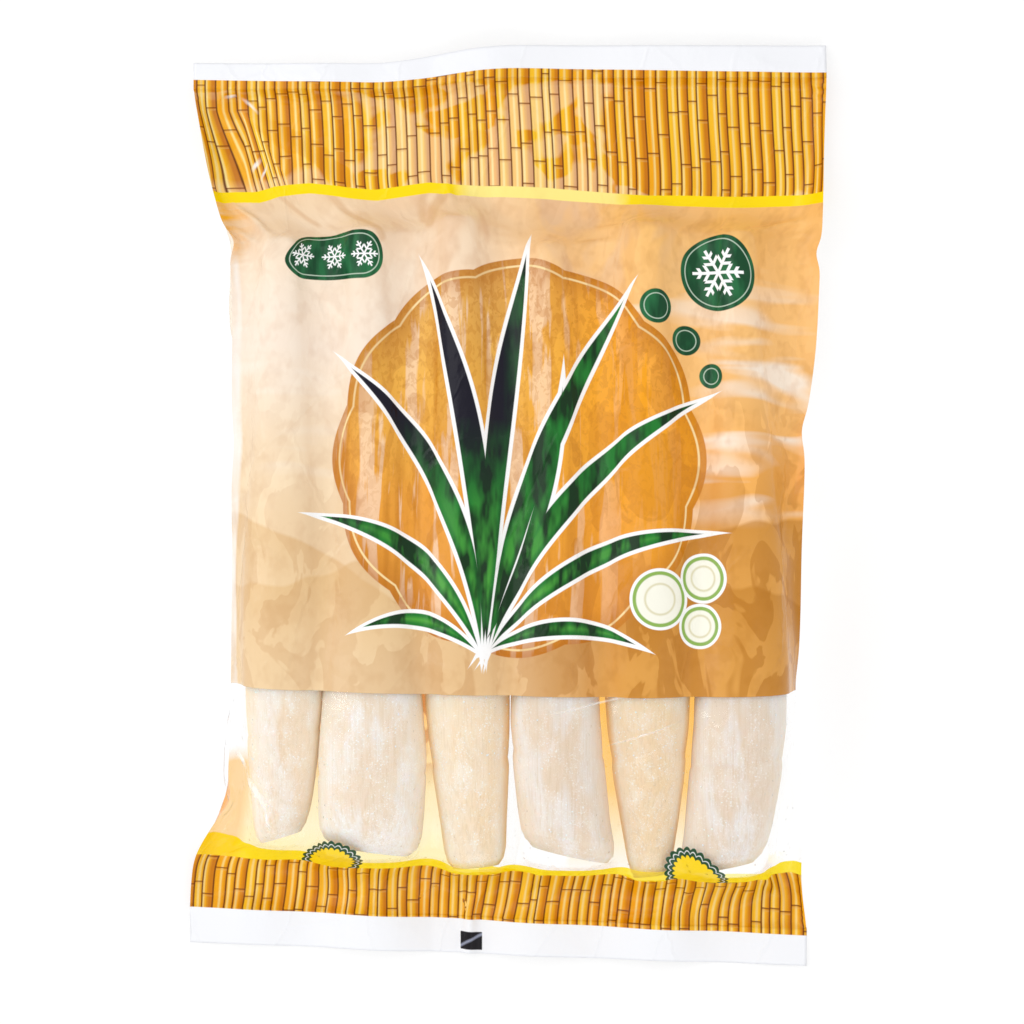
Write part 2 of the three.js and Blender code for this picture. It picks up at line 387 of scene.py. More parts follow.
def finer(tube):
    # twice the cells both ways, by a cubic rule
    before, after, second = np.roll(tube, 1, 0), np.roll(tube, -1, 0), np.roll(tube, -2, 0)
    wide = np.empty((2 * len(tube), *tube.shape[1:]))
    wide[0::2] = tube
    wide[1::2] = (9 * (tube + after) - (before + second)) / 16
    middle = (wide[:, :-1] + wide[:, 1:]) / 2
    middle[:, 1:-1] = (9 * (wide[:, 1:-2] + wide[:, 2:-1]) - (wide[:, :-3] + wide[:, 3:])) / 16
    tall = np.empty((len(wide), 2 * wide.shape[1] - 1, 3))
    tall[:, 0::2] = wide
    tall[:, 1::2] = middle
    return tall


def restLengths(fold, count, low, high):
    # how long each cell of the film is, across and along, so that it lies nearly taut
    share = np.linspace(0, 1, count + 1)
    y = blend(low[:, 1].mean(), high[:, 1].mean(), share)
    leftX, leftZ = leftCrease(y)
    rightX, rightZ = rightCrease(y)
    taut = []
    for row in range(count + 1):
        x = np.linspace(leftX[row], rightX[row], 200)
        height = maps.read(maps.top, x, np.full_like(x, y[row])) + film["skin"]
        height[0], height[-1] = leftZ[row], rightZ[row]
        taut.append(tautLength(x, height))
    taut = np.array(taut)
    calm = smooth(0.02, 0.3, share) * smooth(0.99, 0.72, share)
    slack = blend(film["slackAtEnds"], film["slackAcross"], calm)
    ends = smooth(0, 0.08, share) * smooth(1, 0.9, share)
    sides = [blend(flatWidth, np.minimum(flatWidth, wide), ends)
             for wide in (taut + slack, rightX - leftX + film["backSlack"])]
    sides = [np.repeat(side[None], fold, 0) for side in sides]
    across = np.concatenate(sides, 0)[..., None] / fold
    frontAlong = []
    for column in range(fold + 1):
        x, yLine = [blend(low[column, axis], high[column, axis], share) for axis in (0, 1)]
        x = x * film["narrowing"]
        height = maps.read(maps.top, x, y) + film["skin"]
        height[0], height[-1] = low[column, 2], high[column, 2]
        frontAlong.append(tautLength(yLine, height) + film["slackAlong"])
    frontAlong = softened(np.array(frontAlong), np.ones(5))
    for end, crease in ((0, leftCrease), (fold, rightCrease)):
        yLine = np.linspace(low[end, 1], high[end, 1], 300)
        x, z = crease(yLine)
        own = stepLengths(np.stack([x, yLine, z], -1)).sum() + film["creaseSlack"]
        frontAlong = blend(frontAlong, own, bell(np.arange(fold + 1), end, fold * 0.07))
    backAlong = np.linspace(frontAlong[-1], frontAlong[0], fold + 1)[1:-1]
    along = np.concatenate([frontAlong, backAlong])[:, None, None] / count
    return across, np.repeat(along, count, 1)


def settleFilm():
    steps = film["steps"]
    dice = np.random.default_rng(film["seed"])
    fold = 2 * round(flatWidth / film["cells"][0] / 2)
    count = 2 * round(film["startLength"] / film["cells"][0] / 2)
    low, high = bottomSeal(fold), topSeal(fold)
    share = np.linspace(0, 1, count + 1)[None, :, None]
    front = blend(low[:, None], high[:, None], share)
    across = np.linspace(0, 1, fold + 1)[:, None]
    leftX, rightX = leftCrease(front[..., 1])[0], rightCrease(front[..., 1])[0]
    dome = np.clip(np.sin(np.pi * share[..., 0]), 0, 1) ** 0.35
    front[..., 0] = blend(front[..., 0], blend(leftX, rightX, across), dome)
    back = front[1:-1][::-1].copy()
    lowest, rise = film["crown"]
    crown = lowest + rise * (1 - np.abs(2 * across - 1) ** 6)
    front[..., 2] = np.maximum(blend(front[..., 2], crown, dome), front[..., 2])
    back[..., 2] = blend(back[..., 2], film["layers"], dome)
    tube = np.concatenate([front, back], 0)
    tube[:, 1:-1] += dice.normal(0, film["jitter"], tube[:, 1:-1].shape)
    for level, rounds in enumerate(steps):
        if level:
            tube = finer(tube)
            fold *= 2
            count *= 2
        low, high = bottomSeal(fold), topSeal(fold)
        lowRing, highRing = [np.concatenate([line, line[1:-1][::-1]], 0) for line in (low, high)]
        across, along = restLengths(fold, count, low, high)
        before = tube.copy()
        for _ in range(rounds):
            speed = (tube - before) * film["carry"][min(level, 1)]
            before = tube.copy()
            tube = tube + speed
            tube[..., 2] -= film["weight"]
            for _ in range(2):
                relaxFilm(tube, across, along, fold)
                for column, crease in ((0, leftCrease), (fold, rightCrease)):
                    tube[column, :, 0], tube[column, :, 2] = crease(tube[column, :, 1])
                tube[:, 0], tube[:, -1] = lowRing, highRing
                touching = pressFilm(tube, fold)[..., None]
            held = blend(tube[:fold + 1], before[:fold + 1], film["grip"])
            tube[:fold + 1] = np.where(touching, held, tube[:fold + 1])
            tube[:, 0], tube[:, -1] = lowRing, highRing
        move = np.abs(tube - before).max()
        print(f"film settled at {flatWidth / fold:.2f} mm cells, last move {move:.2f} mm")
    return tube, fold


tube, fold = settleFilm()
rows = tube.shape[1]
frontPoints = tube[:fold + 1]
backPoints = np.concatenate([tube[fold:], tube[:1]], 0)
middleLine = frontPoints[fold // 2 - 20:fold // 2 + 20].mean(0)
filmLength = stepLengths(middleLine).sum()
topDepth = topEdge[:, 1].mean() - topWall[:, 1].mean()
bottomDepth = bottomWall[:, 1].mean() - bottomEdge[:, 1].mean()
flatLength = topDepth + filmLength + bottomDepth
print(f"flat film {flatWidth:.0f} x {flatLength:.0f} mm, seals {topDepth:.1f} and {bottomDepth:.1f} mm deep")


# folds of the front film: from and to in plan, and how high each stands, in mm
folds = [
    ((-88, 131), (-54, 105), 1.3),
    ((-99, 109), (-82, 99), 0.9),
    ((-32, -124), (-16, -138), 0.7),
    ((4, -123), (-7, -138), 0.6),
    ((-76, 94), (-52, 58), 0.8),
    ((-22, 100), (-36, 78), 0.8),
    ((98, 46), (88, 12), 1.1),
    ((99, 14), (90, -24), 1.0),
    ((-86, 60), (-80, 22), 0.8),
    ((-92, -88), (-78, -112), 1.0),
    ((12, -74), (44, -67), 0.7),
    ((34, -85), (60, -74), 0.6),
    ((-52, 121), (-28, 129), 0.8),
]
sweep = {
    "top": (-88, 132),       # left of a line through here the print leans
    "run": 0.62,             # mm sideways for each mm that the line falls
    "slope": (0.12, 0.55),   # lean at the side crease and at the line
    "reach": (3, 26),        # mm from the crease between them
    "fade": (80, 100),       # mm, between these heights in plan it dies out
}


def rowsFromEnd(points):
    row = np.arange(points.shape[1])
    return np.minimum(row, row[::-1])


def layFolds(points):
    x, y = points[..., 0].copy(), points[..., 1].copy()
    clear = smooth(0, 5, rowsFromEnd(points))
    for (ax, ay), (bx, by), height in folds:
        length = math.hypot(bx - ax, by - ay)
        along = ((x - ax) * (bx - ax) + (y - ay) * (by - ay)) / length
        side = ((x - ax) * (by - ay) - (y - ay) * (bx - ax)) / length
        present = smooth(-4, 8, along) * smooth(length + 4, length - 8, along) * clear
        points[..., 2] += height * present * smooth(-6, 0, side) * smooth(3.2, 0, side)


def leanPrint(points, fromCrease):
    # how far the film's lie shifts the print sideways, left of a slanting line
    topX, topY = sweep["top"]
    x, y = points[..., 0], points[..., 1]
    below = np.minimum(topY - (x - topX) / sweep["run"], topY) - y
    slope = np.interp(fromCrease, sweep["reach"], sweep["slope"])
    return -slope * np.clip(below, 0, None) * smooth(*sweep["fade"], y)


layFolds(frontPoints)
frontFilm = makeGrid("frontFilm", frontPoints)
backFilm = makeGrid("backFilm", backPoints)


# end seals: front and back fused in a thin band that waves towards its cut edge

seal = {
    "cellsDeep": 12,
    "thickness": 0.22,
    "flutter": 0.8,
    "leftDrop": 2.0,      # how much lower the cut top edge runs at the left
    "lowest": 0.3,
}


def closedSheet(name, middle, thickness):
    # a thin closed solid round a grid of points
    up = np.array([0, 0, thickness / 2])
    points = np.concatenate([(middle + up).reshape(-1, 3), (middle - up).reshape(-1, 3)])
    at, quads = gridFaces(middle)
    faces = quads.tolist() + (quads[:, ::-1] + at.size).tolist()
    rim = [*at[:-1, 0], *at[-1, :-1], *at[:0:-1, -1], *at[0, :0:-1]]
    faces += [[int(a), int(a) + at.size, int(b) + at.size, int(b)] for a, b in zip(rim, rim[1:] + rim[:1])]
    return makePiece(name, points, faces)


def sealBand(name, line, edge, outward, seed):
    turn = np.random.default_rng(seed).uniform(0, 6, 3)
    edgeY = curveReader(edge, 0, 1)(line[:, 0])
    edgeY = edgeY - seal["leftDrop"] * smooth(-8, -48, line[:, 0]) * (outward > 0)
    share = np.linspace(0, 1, seal["cellsDeep"] + 1)
    x, y, z = [np.repeat(part[:, None], len(share), 1) for part in line.T]
    s = share[None]
    y = blend(y, edgeY[:, None], s)
    wave = np.sin(x / 23 + turn[0]) + 0.5 * np.sin(x / 9.5 + turn[1]) + 0.3 * np.sin(x / 41 + turn[2])
    z = np.maximum(z * (1 - 0.25 * s) + seal["flutter"] * wave * s, seal["lowest"])
    return closedSheet(name, np.stack([x, y, z], -1)[:, ::outward], seal["thickness"])


topSealPiece = sealBand("topEndSeal", frontPoints[:, -1], topEdge, 1, 3)
bottomSealPiece = sealBand("bottomEndSeal", frontPoints[:, 0], bottomEdge, -1, 8)


# the back seam: two edges of the web fused and folded flat under the bag

def finStrip():
    backX, backY, backZ = backPoints[::-1].transpose(2, 0, 1)
    across = np.linspace(1, -1, fin["cells"] + 1)
    strip = np.zeros((len(across), rows, 3))
    for row in range(rows):
        middle = finMiddle(backY[:, row].mean())
        x = middle + across * fin["half"]
        above = np.interp(x, backX[:, row], backZ[:, row])
        near = np.interp(x, backX[:, row], backY[:, row])
        rootShare = smooth(0.75, 1, across)
        drop = blend(fin["under"], 0.04, rootShare) + fin["thickness"] / 2
        strip[:, row] = np.stack([x, near, np.maximum(above - drop, fin["thickness"] / 2 + 0.05)], -1)
    return closedSheet("backFin", strip[::-1], fin["thickness"])


backFin = finStrip()


# the peeled shoots

flesh = {
    "rings": 150,
    "sides": 64,
    "ringPlaces": (0.17, 0.31, 0.47, 0.66),   # sheath scars, as shares of the length from the base
    "ringDepth": 0.42,                         # mm
    "fluteDepth": 0.1,
    "dentDepth": 0.7,
    "capRings": 4,
    "cutSlants": (0.30, -0.14, 0.10, -0.22, 0.12, 0.18),   # rise over run of the cut bases
    # how much warmer each shoot reads all over, which also sets how strongly its flanks are painted with warm
    # glow
    "warmth": (0.35, 0.15, 0.75, 0.12, 1.0, 0.0),
    "seed": 11,
}


def shootPiece(number, part):
    dice = np.random.default_rng(flesh["seed"] + number)
    y0, y1 = part[0][0], part[0][-1]
    even = np.linspace(0, 1, flesh["rings"] + 1)
    share = np.sort(np.concatenate([even, [0.002, 0.004, 0.01, 0.99, 0.996, 0.998]]))
    y = y0 + (y1 - y0) * share
    middleX, middleZ, halfWidth, halfDepth = [np.interp(y, part[0], line) for line in part[1:]]
    turn = 2 * np.pi * np.arange(flesh["sides"]) / flesh["sides"]
    angle, place = np.meshgrid(turn, share)
    phases = dice.uniform(0, 2 * np.pi, 12)
    inward = flesh["fluteDepth"] * (1 + np.sin(7 * angle + phases[0] + 3 * place)) / 2
    dent = np.sin(2 * angle + phases[1] + 4 * place) * np.sin(9 * place + phases[2])
    dent = dent + 0.6 * np.sin(3 * angle + phases[3]) * np.sin(17 * place + phases[4] + angle)
    inward = inward + flesh["dentDepth"] * np.clip(dent, 0, 2) / 2
    for order, ring in enumerate(flesh["ringPlaces"]):
        at = ring + dice.normal(0, 0.02) + 0.006 * np.sin(angle + phases[5 + order])
        off = (place - at) * (y1 - y0)
        inward = inward + flesh["ringDepth"] * bell(off, 0, 0.9)
        inward = inward + flesh["ringDepth"] * 0.6 * smooth(0, 0.8, off) * smooth(9, 1, off)
    rounded = smooth(0, 0.006, place) * smooth(1, 0.994, place)
    inward = inward * rounded
    wide, deep = halfWidth[:, None] - inward, halfDepth[:, None] - inward
    x = middleX[:, None] + wide * np.sin(angle)
    z = middleZ[:, None] + deep * np.cos(angle)
    slant = flesh["cutSlants"][number]
    lift = np.abs(slant) * halfWidth[:, None] + slant * (x - middleX[:, None])
    yGrid = y[:, None] + lift * (1 - smooth(0, 0.09, place))
    body = np.stack([x, yGrid, z], -1)
    sides = flesh["sides"]
    points = [body.reshape(-1, 3)]
    at = np.arange(len(share) * sides).reshape(len(share), sides)
    after = np.roll(at, -1, 1)
    faces = np.stack([at[:-1], after[:-1], after[1:], at[1:]], -1).reshape(-1, 4).tolist()
    count = len(points[0])
    for ring, outward in ((0, -1), (len(share) - 1, 1)):
        centre = body[ring].mean(0)
        previous = at[ring]
        for step in range(1, flesh["capRings"]):
            inner = step / flesh["capRings"]
            hollow = 0.35 * np.sin(inner * np.pi / 2)
            points.append(blend(body[ring], centre, inner) - [0, outward * hollow, 0])
            current = count + np.arange(sides)
            count += sides
            pairs = [previous, np.roll(previous, -1), np.roll(current, -1), current]
            order = pairs if outward > 0 else pairs[::-1]
            faces += np.stack(order, -1).tolist()
            previous = current
        points.append(centre[None] - [0, outward * 0.35, 0])
        for a, b in zip(previous, np.roll(previous, -1)):
            faces.append([int(a), int(b), count] if outward > 0 else [int(b), int(a), count])
        count += 1
    piece = makePiece(f"peeledShoot{number + 1}", np.concatenate(points), faces)
    lines = np.concatenate([place.ravel(), np.repeat([0, 1], (count - place.size) // 2)])
    flank = np.concatenate([np.abs(np.sin(angle)).ravel() ** 3, np.ones(count - place.size)])
    keepVector(piece, "fleshPlace", np.full(count, flesh["warmth"][number]), lines, flank)
    return piece


shoots = [shootPiece(number, part) for number, part in enumerate(sections)]
print("shoots made:", [len(shoot.data.polygons) for shoot in shoots])


# print: places on the flat film, in mm from its middle line and down from its cut top edge

layout = {
    "header": 7.2,
    "canes": 48.5,
    "stripe": 52.2,
    "panel": 222.6,
    "window": 283.0,
    "lowStripe": 286.8,
    "lowCanes": 307.0,
    "soft": 0.12,         # edge blur of the print
    "calm": (36, 6),      # mm down between which the wander of the cut top edge sets in
    # how far the print runs out of square: places down the film, and rise over run at each
    "skewPlaces": (0, 48, 222, 287, 317),
    "skew": (0.015, 0.036, -0.013, -0.010, 0.018),
    # how far the print wanders down the film, by x: at the cut top edge and at the upper stripe
    "waveX": (-106, -95, -85, -69, -56, -47, -29, -10, 11, 32, 45, 90, 106),
    "waveTop": (1.6, 1.6, 1.6, 1.7, 1.7, 1.7, 1.4, 0.7, 0.4, 0.3, 0.3, 0.2, 0.0),
    "waveStripe": (2.4, 2.0, -0.3, -1.6, -0.2, 0.4, -2.0, -0.7, -0.9, 0.4, 0.7, -0.3, -0.5),
}
artwork = {
    "blades": [           # foot, tip, bow to the side and width of each reed leaf
        ((-13, 205), (-61, 114), 11, 8.2),
        ((-12, 205), (-33, 84), 6, 9.4),
        ((-11, 205), (3, 75), -4, 9.8),
        ((-10, 205), (38, 90), -7, 9.0),
        ((-9, 205), (64, 124), -12, 8.4),
        ((-9, 206), (66, 168), -10, 6.8),
        ((-14, 206), (-70, 164), 10, 7.0),
        ((-9, 207), (42, 205), -6, 5.4),
        ((-15, 207), (-54, 201), 6, 5.0),
        ((-11, 204), (15, 120), 5, 5.6),
    ],
    "outline": 1.3,
    "bleed": 0.4,                                      # mm that a label's colour runs on beyond its edge
    "medallion": (0.0, 143.0, 64.5),                   # x, down, radius
    "lobes": (12, 2.6),                                # how many, and how deep
    "pill": (-68.0, 76.0, 18.5, 8.0),                  # x, down, half width, half height
    "badge": (73.0, 80.0, 13.0),
    "dots": [(50.0, 92.0, 5.8), (61.0, 103.0, 5.0), (69.5, 115.0, 4.2)],
    "badgeFlake": (73.0, 80.0, 9.0),
    "pillFlake": (-68.0, 76.0, 4.6),
    "pillStep": 12.0,                                  # mm between the pill's three flakes
    "drapes": [((-24, 52), (-33, 64), 1.6), ((-31, 52), (-35, 62), 1.1), ((-62, 52), (-50, 70), 1.3),
               ((-84, 52), (-72, 62), 1.0)],           # from, to and half width of each fold, with painted shade along it
    "slices": [(50.0, 190.0, 9.2), (66.0, 183.0, 7.4), (64.5, 199.0, 6.6)],
    "rosettes": [(-60.0, 3.6, 10.0), (66.0, 3.6, 10.0)],   # x, up from the lower canes, radius
    "scallops": (22, 1.0),
    "eyeMark": (-9.2, 4.3, 4.6, 3.0),                  # x, up from the cut bottom edge, half sizes
}


def keepPrint(piece, x, down, onFlesh, onBack, fromCrease, besideFlesh):
    # printPlace is the place on the print, whose bands are a little out of square with the cut edges
    wander = np.interp(x, layout["waveX"], layout["waveTop"]) * smooth(*layout["calm"], down)
    wander += np.interp(x, layout["waveX"], layout["waveStripe"]) * bell(down, layout["canes"], 16)
    down = down - wander - x * np.interp(down, layout["skewPlaces"], layout["skew"])
    keepVector(piece, "printPlace", x, down, besideFlesh)
    keepVector(piece, "filmTouch", onFlesh, onBack, np.clip(fromCrease, 0, cling["far"]))


def acrossPrint(points):
    # mm across the film from its middle column, and from the side where it starts
    run = np.concatenate([np.zeros((1, points.shape[1])), np.cumsum(stepLengths(points), 0)])
    run = np.array([softened(line, np.hanning(13)[1:-1]) for line in run])
    flat = np.linspace(-flatWidth / 2, flatWidth / 2, len(run))[:, None]
    return blend(run - run[len(run) // 2], flat, smooth(32, 4, rowsFromEnd(points))), run


def besideShoots(points):
    # 1 where a shoot's outline lies straight under the film
    x, y = points[..., 0], points[..., 1]
    nearest = np.full(x.shape, 50.0)
    for part in sections:
        middleX, halfWidth = np.interp(y, part[0], part[1]), np.interp(y, part[0], part[3])
        beyond = np.maximum(np.maximum(part[0][0] - y, y - part[0][-1]), 0)
        nearest = np.minimum(nearest, np.hypot(np.abs(np.abs(x - middleX) - halfWidth), beyond))
    return bell(nearest, 0, cling["frostLine"])


def twoSided(across, down):
    # the print's places on both faces of a closed sheet
    return [np.concatenate([part.ravel()] * 2) for part in np.meshgrid(across, down, indexing="ij")]


cling = {
    "flesh": (1.7, 0.5),      # mm of room between which the film goes from free to clinging, on the flesh
    "back": (8.0, 1.5),       # and on the other layer
    "frostLine": 1.8,         # mm, half width of the pale halo beside a shoot's outline: frost on the film and painted glow
    "far": 40,                # mm from a side crease beyond which nothing changes
}
downFilm = topDepth + filmLength * np.linspace(1, 0, rows)
downGrid = np.repeat(downFilm[None], fold + 1, 0)
frontX, frontRun = acrossPrint(frontPoints)
backX = -acrossPrint(backPoints)[0]
overFlesh = frontPoints[..., 2] - maps.read(maps.top, frontPoints[..., 0], frontPoints[..., 1])
overBack = np.sqrt(((frontPoints - backPoints[::-1]) ** 2).sum(-1))
onFlesh, onBack = smooth(*cling["flesh"], overFlesh), smooth(*cling["back"], overBack)
leaning = frontX + leanPrint(frontPoints, frontRun)
keepPrint(frontFilm, leaning, downGrid, onFlesh, onBack, frontRun, besideShoots(frontPoints))
keepPrint(backFilm, backX, downGrid, 0 * onFlesh, onBack[::-1], frontRun[::-1], 0 * onBack)
acrossFilm = np.linspace(-flatWidth / 2, flatWidth / 2, fold + 1)
for piece, start, depth in ((topSealPiece, 0, topDepth),
                            (bottomSealPiece, flatLength - bottomDepth, bottomDepth)):
    deep = np.linspace(1, 0, seal["cellsDeep"] + 1)
    x, y = twoSided(acrossFilm, start + depth * deep)
    keepPrint(piece, x, y, 0 * x, 0 * x + 1, x + flatWidth / 2, 0 * x)
acrossFin = np.linspace(-fin["half"], fin["half"], fin["cells"] + 1)
x, y = twoSided(acrossFin, downFilm)
keepPrint(backFin, x, y, 0 * x, 0 * x + 1, 0 * x + cling["far"], 0 * x)


# node trees: a wire is one output of a node, and arithmetic on wires adds Math nodes

bench = {}      # holds the tree that is being built


class Wire:
    def __init__(self, socket):
        self.socket = socket

    def __getitem__(self, key):
        return Wire(self.socket.node.outputs[key])

    def __abs__(self):
        return put("ABSOLUTE", self)

    def __add__(self, other):
        return put("ADD", self, other)

    def __sub__(self, other):
        return put("SUBTRACT", self, other)

    def __rsub__(self, other):
        return put("SUBTRACT", other, self)

    def __mul__(self, other):
        return put("MULTIPLY", self, other)


def put(kind, *inputs, **settings):
    # adds a node with its settings and links; capitals name what a Math node does.
    # inputs stand in their order or by name in one dictionary, and hex text is a colour
    tree = bench["tree"]
    if kind.isupper():
        kind, settings = "Math", {"operation": kind}
    ready = kind.startswith(("Geometry", "Function", "NodeGroup"))
    node = tree.nodes.new(kind if ready else "ShaderNode" + kind)
    for name, value in ({"data_type": "RGBA"} if kind == "Mix" and not settings else settings).items():
        setattr(node, name, value)
    slots = [socket for socket in node.inputs if socket.enabled]
    named = inputs[0].items() if inputs and isinstance(inputs[0], dict) else zip(range(len(inputs)), inputs)
    for key, value in named:
        socket = slots[key] if isinstance(key, int) else node.inputs[key]
        if isinstance(value, Wire):
            tree.links.new(value.socket, socket)
        elif value is not None:
            isHex = isinstance(value, str) and value.startswith("#")
            socket.default_value = linearColour(value) if isHex else value
    return Wire(next((socket for socket in node.outputs if socket.enabled), None))


def newMaterial(name):
    material = bpy.data.materials.new(name)
    material.use_nodes = True
    bench["tree"] = material.node_tree
    bench["tree"].nodes.clear()
    return material


def layered(colour, *layers):
    # lays colours over the first, each after its share
    for share, over in zip(layers[::2], layers[1::2]):
        colour = put("Mix", share, colour, over)
    return colour


def highest(first, *others):
    for other in others:
        first = put("MAXIMUM", first, other)
    return first


def colourBand(value, stops):
    # colours along a value, from (place, hex) stops
    wire = put("ValToRGB", value)
    band = wire.socket.node.color_ramp
    while len(band.elements) < len(stops):
        band.elements.new(0.5)
    for element, (place, colour) in zip(band.elements, stops):
        element.position = place
        element.color = linearColour(colour)
    return wire


def inside(edge, at=0.0, blur=0.14):
    # 1 where a signed distance is below a limit
    return put("MapRange", edge, at - blur, at + blur, 1.0, 0.0)


def ring(edge, at, half, blur=0.16):
    # 1 on a line that runs beside an edge
    return inside(abs(edge - at), half, blur)


def band(down, upper, lower):
    # 1 between two edges of the print
    top, soft = layout[upper], layout["soft"]
    return put("MapRange", down, top - soft, top + soft) * inside(down, layout[lower], soft)


def windowShare(down):
    return put("MapRange", down, layout["panel"] - 1, layout["panel"])


def length2d(x, y):
    return put("VectorMath", put("CombineXYZ", x, y), operation="LENGTH")


def noise(place, wide, tall, seed, detail=2.0, distortion=0.0, roughness=0.5):
    # noise whose grain is wide and tall in mm
    grain = put("CombineXYZ", place[0] * (1 / wide), place[1] * (1 / tall), seed)
    return put("TexNoise", {"Vector": grain, "Scale": 1.0, "Detail": detail, "Roughness": roughness,
                            "Distortion": distortion})


# patches of noise: grain wide and tall in mm, seed, detail, distortion, roughness, and the limits
# that each is read between
patchKinds = {
    "caneStreak": (0.7, 26, 2.6, 2.0, 0.0, 0.5, 0.52, 0.75, 0.0, 0.35),
    "beige": (16, 30, 7.7, 2.0, 0.6, 0.5, 0.44, 0.56, 0.0, 0.75),
    "mist": (58, 11, 1.3, 2.0, 0.5, 0.5, 0.53, 0.68, 0.0, 0.8),
    "stain": (6, 8, 9.4, 2.0, 0.0, 0.62, 0.50, 0.66, 0.0, 0.18),
    "goldGrain": (3.2, 70, 2.2, 2.0, 0.0, 0.5, 0.5, 0.7, 0.0, 0.5),
    "goldStreak": (4.4, 46, 6.4, 3.0, 0.4, 0.5, 0.53, 0.58, 0.0, 0.6),
    "mottle": (2.2, 3.2, 8.8, 2.0, 0.6, 0.7, 0.50, 0.57, 0.0, 0.34),
    "leafTone": (4, 14, 4.4, 2.0, 0.0, 0.5, 0.4, 0.62),
    "rays": (9, 2.6, 5.2, 2.0, 0.0, 0.5, 0.35, 0.6, 0.35, 1.0),
    "flap": (5, 30, 2.2, 2.0, 0.0, 0.5, 0.3, 0.6, 0.3, 1.0),
    "cloudy": (14, 26, 9.1, 2.0, 0.5, 0.5, 0.45, 0.75, 0.0, 0.06),
    "crinkled": (17, 15, 7.1, 0.0, 0.0, 0.5, 0.52, 0.66, 1.0, 3.2),
    "blotch": (6, 8, 5.5, 3.0, 0.6, 0.5, 0.42, 0.52, 0.0, 0.9),
}


def patches(place, name):
    kind = patchKinds[name]
    return put("MapRange", noise(place, *kind[:6]), *kind[6:])


def disc(place, centreX, centreY, radius, lobes=0, depth=0.0):
    # signed distance to a round motif, or to one with a lobed edge
    offX, offY = place[0] - centreX, place[1] - centreY
    away = length2d(offX, offY)
    if lobes:
        turn = put("ARCTAN2", offY, offX)
        away = away - abs(put("COSINE", turn * (lobes / 2))) * depth
    return away - radius


def slab(place, centreX, centreY, halfWide, halfTall, rounding):
    # signed distance to a rectangle with rounded corners
    offs = [abs(part - centre) - (half - rounding)
            for part, centre, half in zip(place, (centreX, centreY), (halfWide, halfTall))]
    beyond = length2d(*[highest(off, 0.0) for off in offs])
    return beyond + put("MINIMUM", highest(*offs), 0.0) - rounding


def capsule(place, start, end):
    # distance to a straight line, and the share along it
    (ax, ay), (bx, by) = start, end
    reach = (bx - ax) ** 2 + (by - ay) ** 2
    x, down = place
    along = put("MULTIPLY_ADD", down - ay, (by - ay) / reach, (x - ax) * ((bx - ax) / reach))
    along = put("Clamp", along, 0.0, 1.0)
    awayX = x - put("MULTIPLY_ADD", along, bx - ax, ax)
    return length2d(awayX, down - put("MULTIPLY_ADD", along, by - ay, ay)), along


def bladeEdge(place, foot, tip, bow, width):
    # signed distance to a tapering leaf, bowed to one side
    reach = math.dist(foot, tip)
    wayX, wayY = [(b - a) / reach for a, b in zip(foot, tip)]
    offX, offY = place[0] - foot[0], place[1] - foot[1]
    along = put("MULTIPLY_ADD", offX, wayX / reach, offY * (wayY / reach))
    across = put("MULTIPLY_ADD", offY, wayX, offX * -wayY)
    swell = along * (1.0 - along)
    offArch = abs(put("MULTIPLY_ADD", swell, -4.0 * bow, across))
    return put("MULTIPLY_ADD", swell, -1.7 * width, offArch)


def flake(place, centreX, centreY, reach):
    # signed distance to a snow crystal of six feathered arms
    offX, offY = place[0] - centreX, place[1] - centreY
    radius, sector = length2d(offX, offY), put("PINGPONG", put("ARCTAN2", offY, offX), math.pi / 6)
    along, off = radius * put("COSINE", sector), radius * put("SINE", sector)
    half = 0.055 * reach
    arm = highest(off - half, along - reach)
    for share, size in ((0.38, 0.3), (0.68, 0.2)):
        slant = abs((along - reach * share) * 0.866 - off * 0.5) - half
        arm = put("MINIMUM", arm, highest(slant, off - reach * size))
    return arm


# printed canes: upright canes side by side, as in a blind
canes = {
    "width": 3.5,           # mm, mean width of a cane
    "jitter": 0.7,
    "gap": (0.07, 0.42),    # mm, dark line between canes
    "joint": (12.0, 11.0),  # mm between joints, and how much that varies
    "deep": "#F6A80A",
    "bright": "#FFCC2A",
    "shine": "#FFEC9C",
    "shade": "#BE6A04",
    "dark": "#5E2600",
    "jointLine": "#642E02",
    "pale": "#FDE3BE",
    "paleShare": 0.36,
    "soaked": "#DE8A00",
    "soakedShare": 0.25,
}


def caneColour(place, soaked):
    x, down = place
    scaled = x * (1 / canes["width"])
    given = {"W": scaled, "Scale": 1.0, "Randomness": canes["jitter"]}
    edge, cell = [put("TexVoronoi", given, voronoi_dimensions="1D", feature=feature)
                  for feature in ("DISTANCE_TO_EDGE", "F1")]
    chance = put("SeparateColor", cell["Color"])
    low, varied = canes["joint"]
    period = put("MULTIPLY_ADD", chance[0], varied, low)
    turns = put("MULTIPLY_ADD", chance[1], 7.3, put("DIVIDE", down, period))
    fromJoint = put("FRACT", turns) * period
    side = scaled - cell["W"]
    return layered(
        put("Mix", chance[2], canes["deep"], canes["bright"]),
        put("MapRange", side, 0.06, 0.42, 0.0, 0.9), canes["shade"],
        put("MapRange", abs(side + 0.13), 0.03, 0.17, 0.9, 0.0), canes["shine"],
        patches(place, "caneStreak"), canes["shade"],
        ring(fromJoint, 1.05, 0.16, 0.25) * 0.3, canes["shine"],
        put("MapRange", soaked, 0.5, 1.0, 0.0, canes["soakedShare"]), canes["soaked"],
        put("MapRange", soaked, 0.0, 0.6, canes["paleShare"], 0.0), canes["pale"],
        put("MapRange", fromJoint, 0.3, 1.6, 0.45, 0.0), canes["shade"],
        ring(fromJoint, 0.3, 0.14, 0.16), canes["jointLine"],
        put("MapRange", edge * canes["width"], *canes["gap"], 0.95, 0.0), canes["dark"])


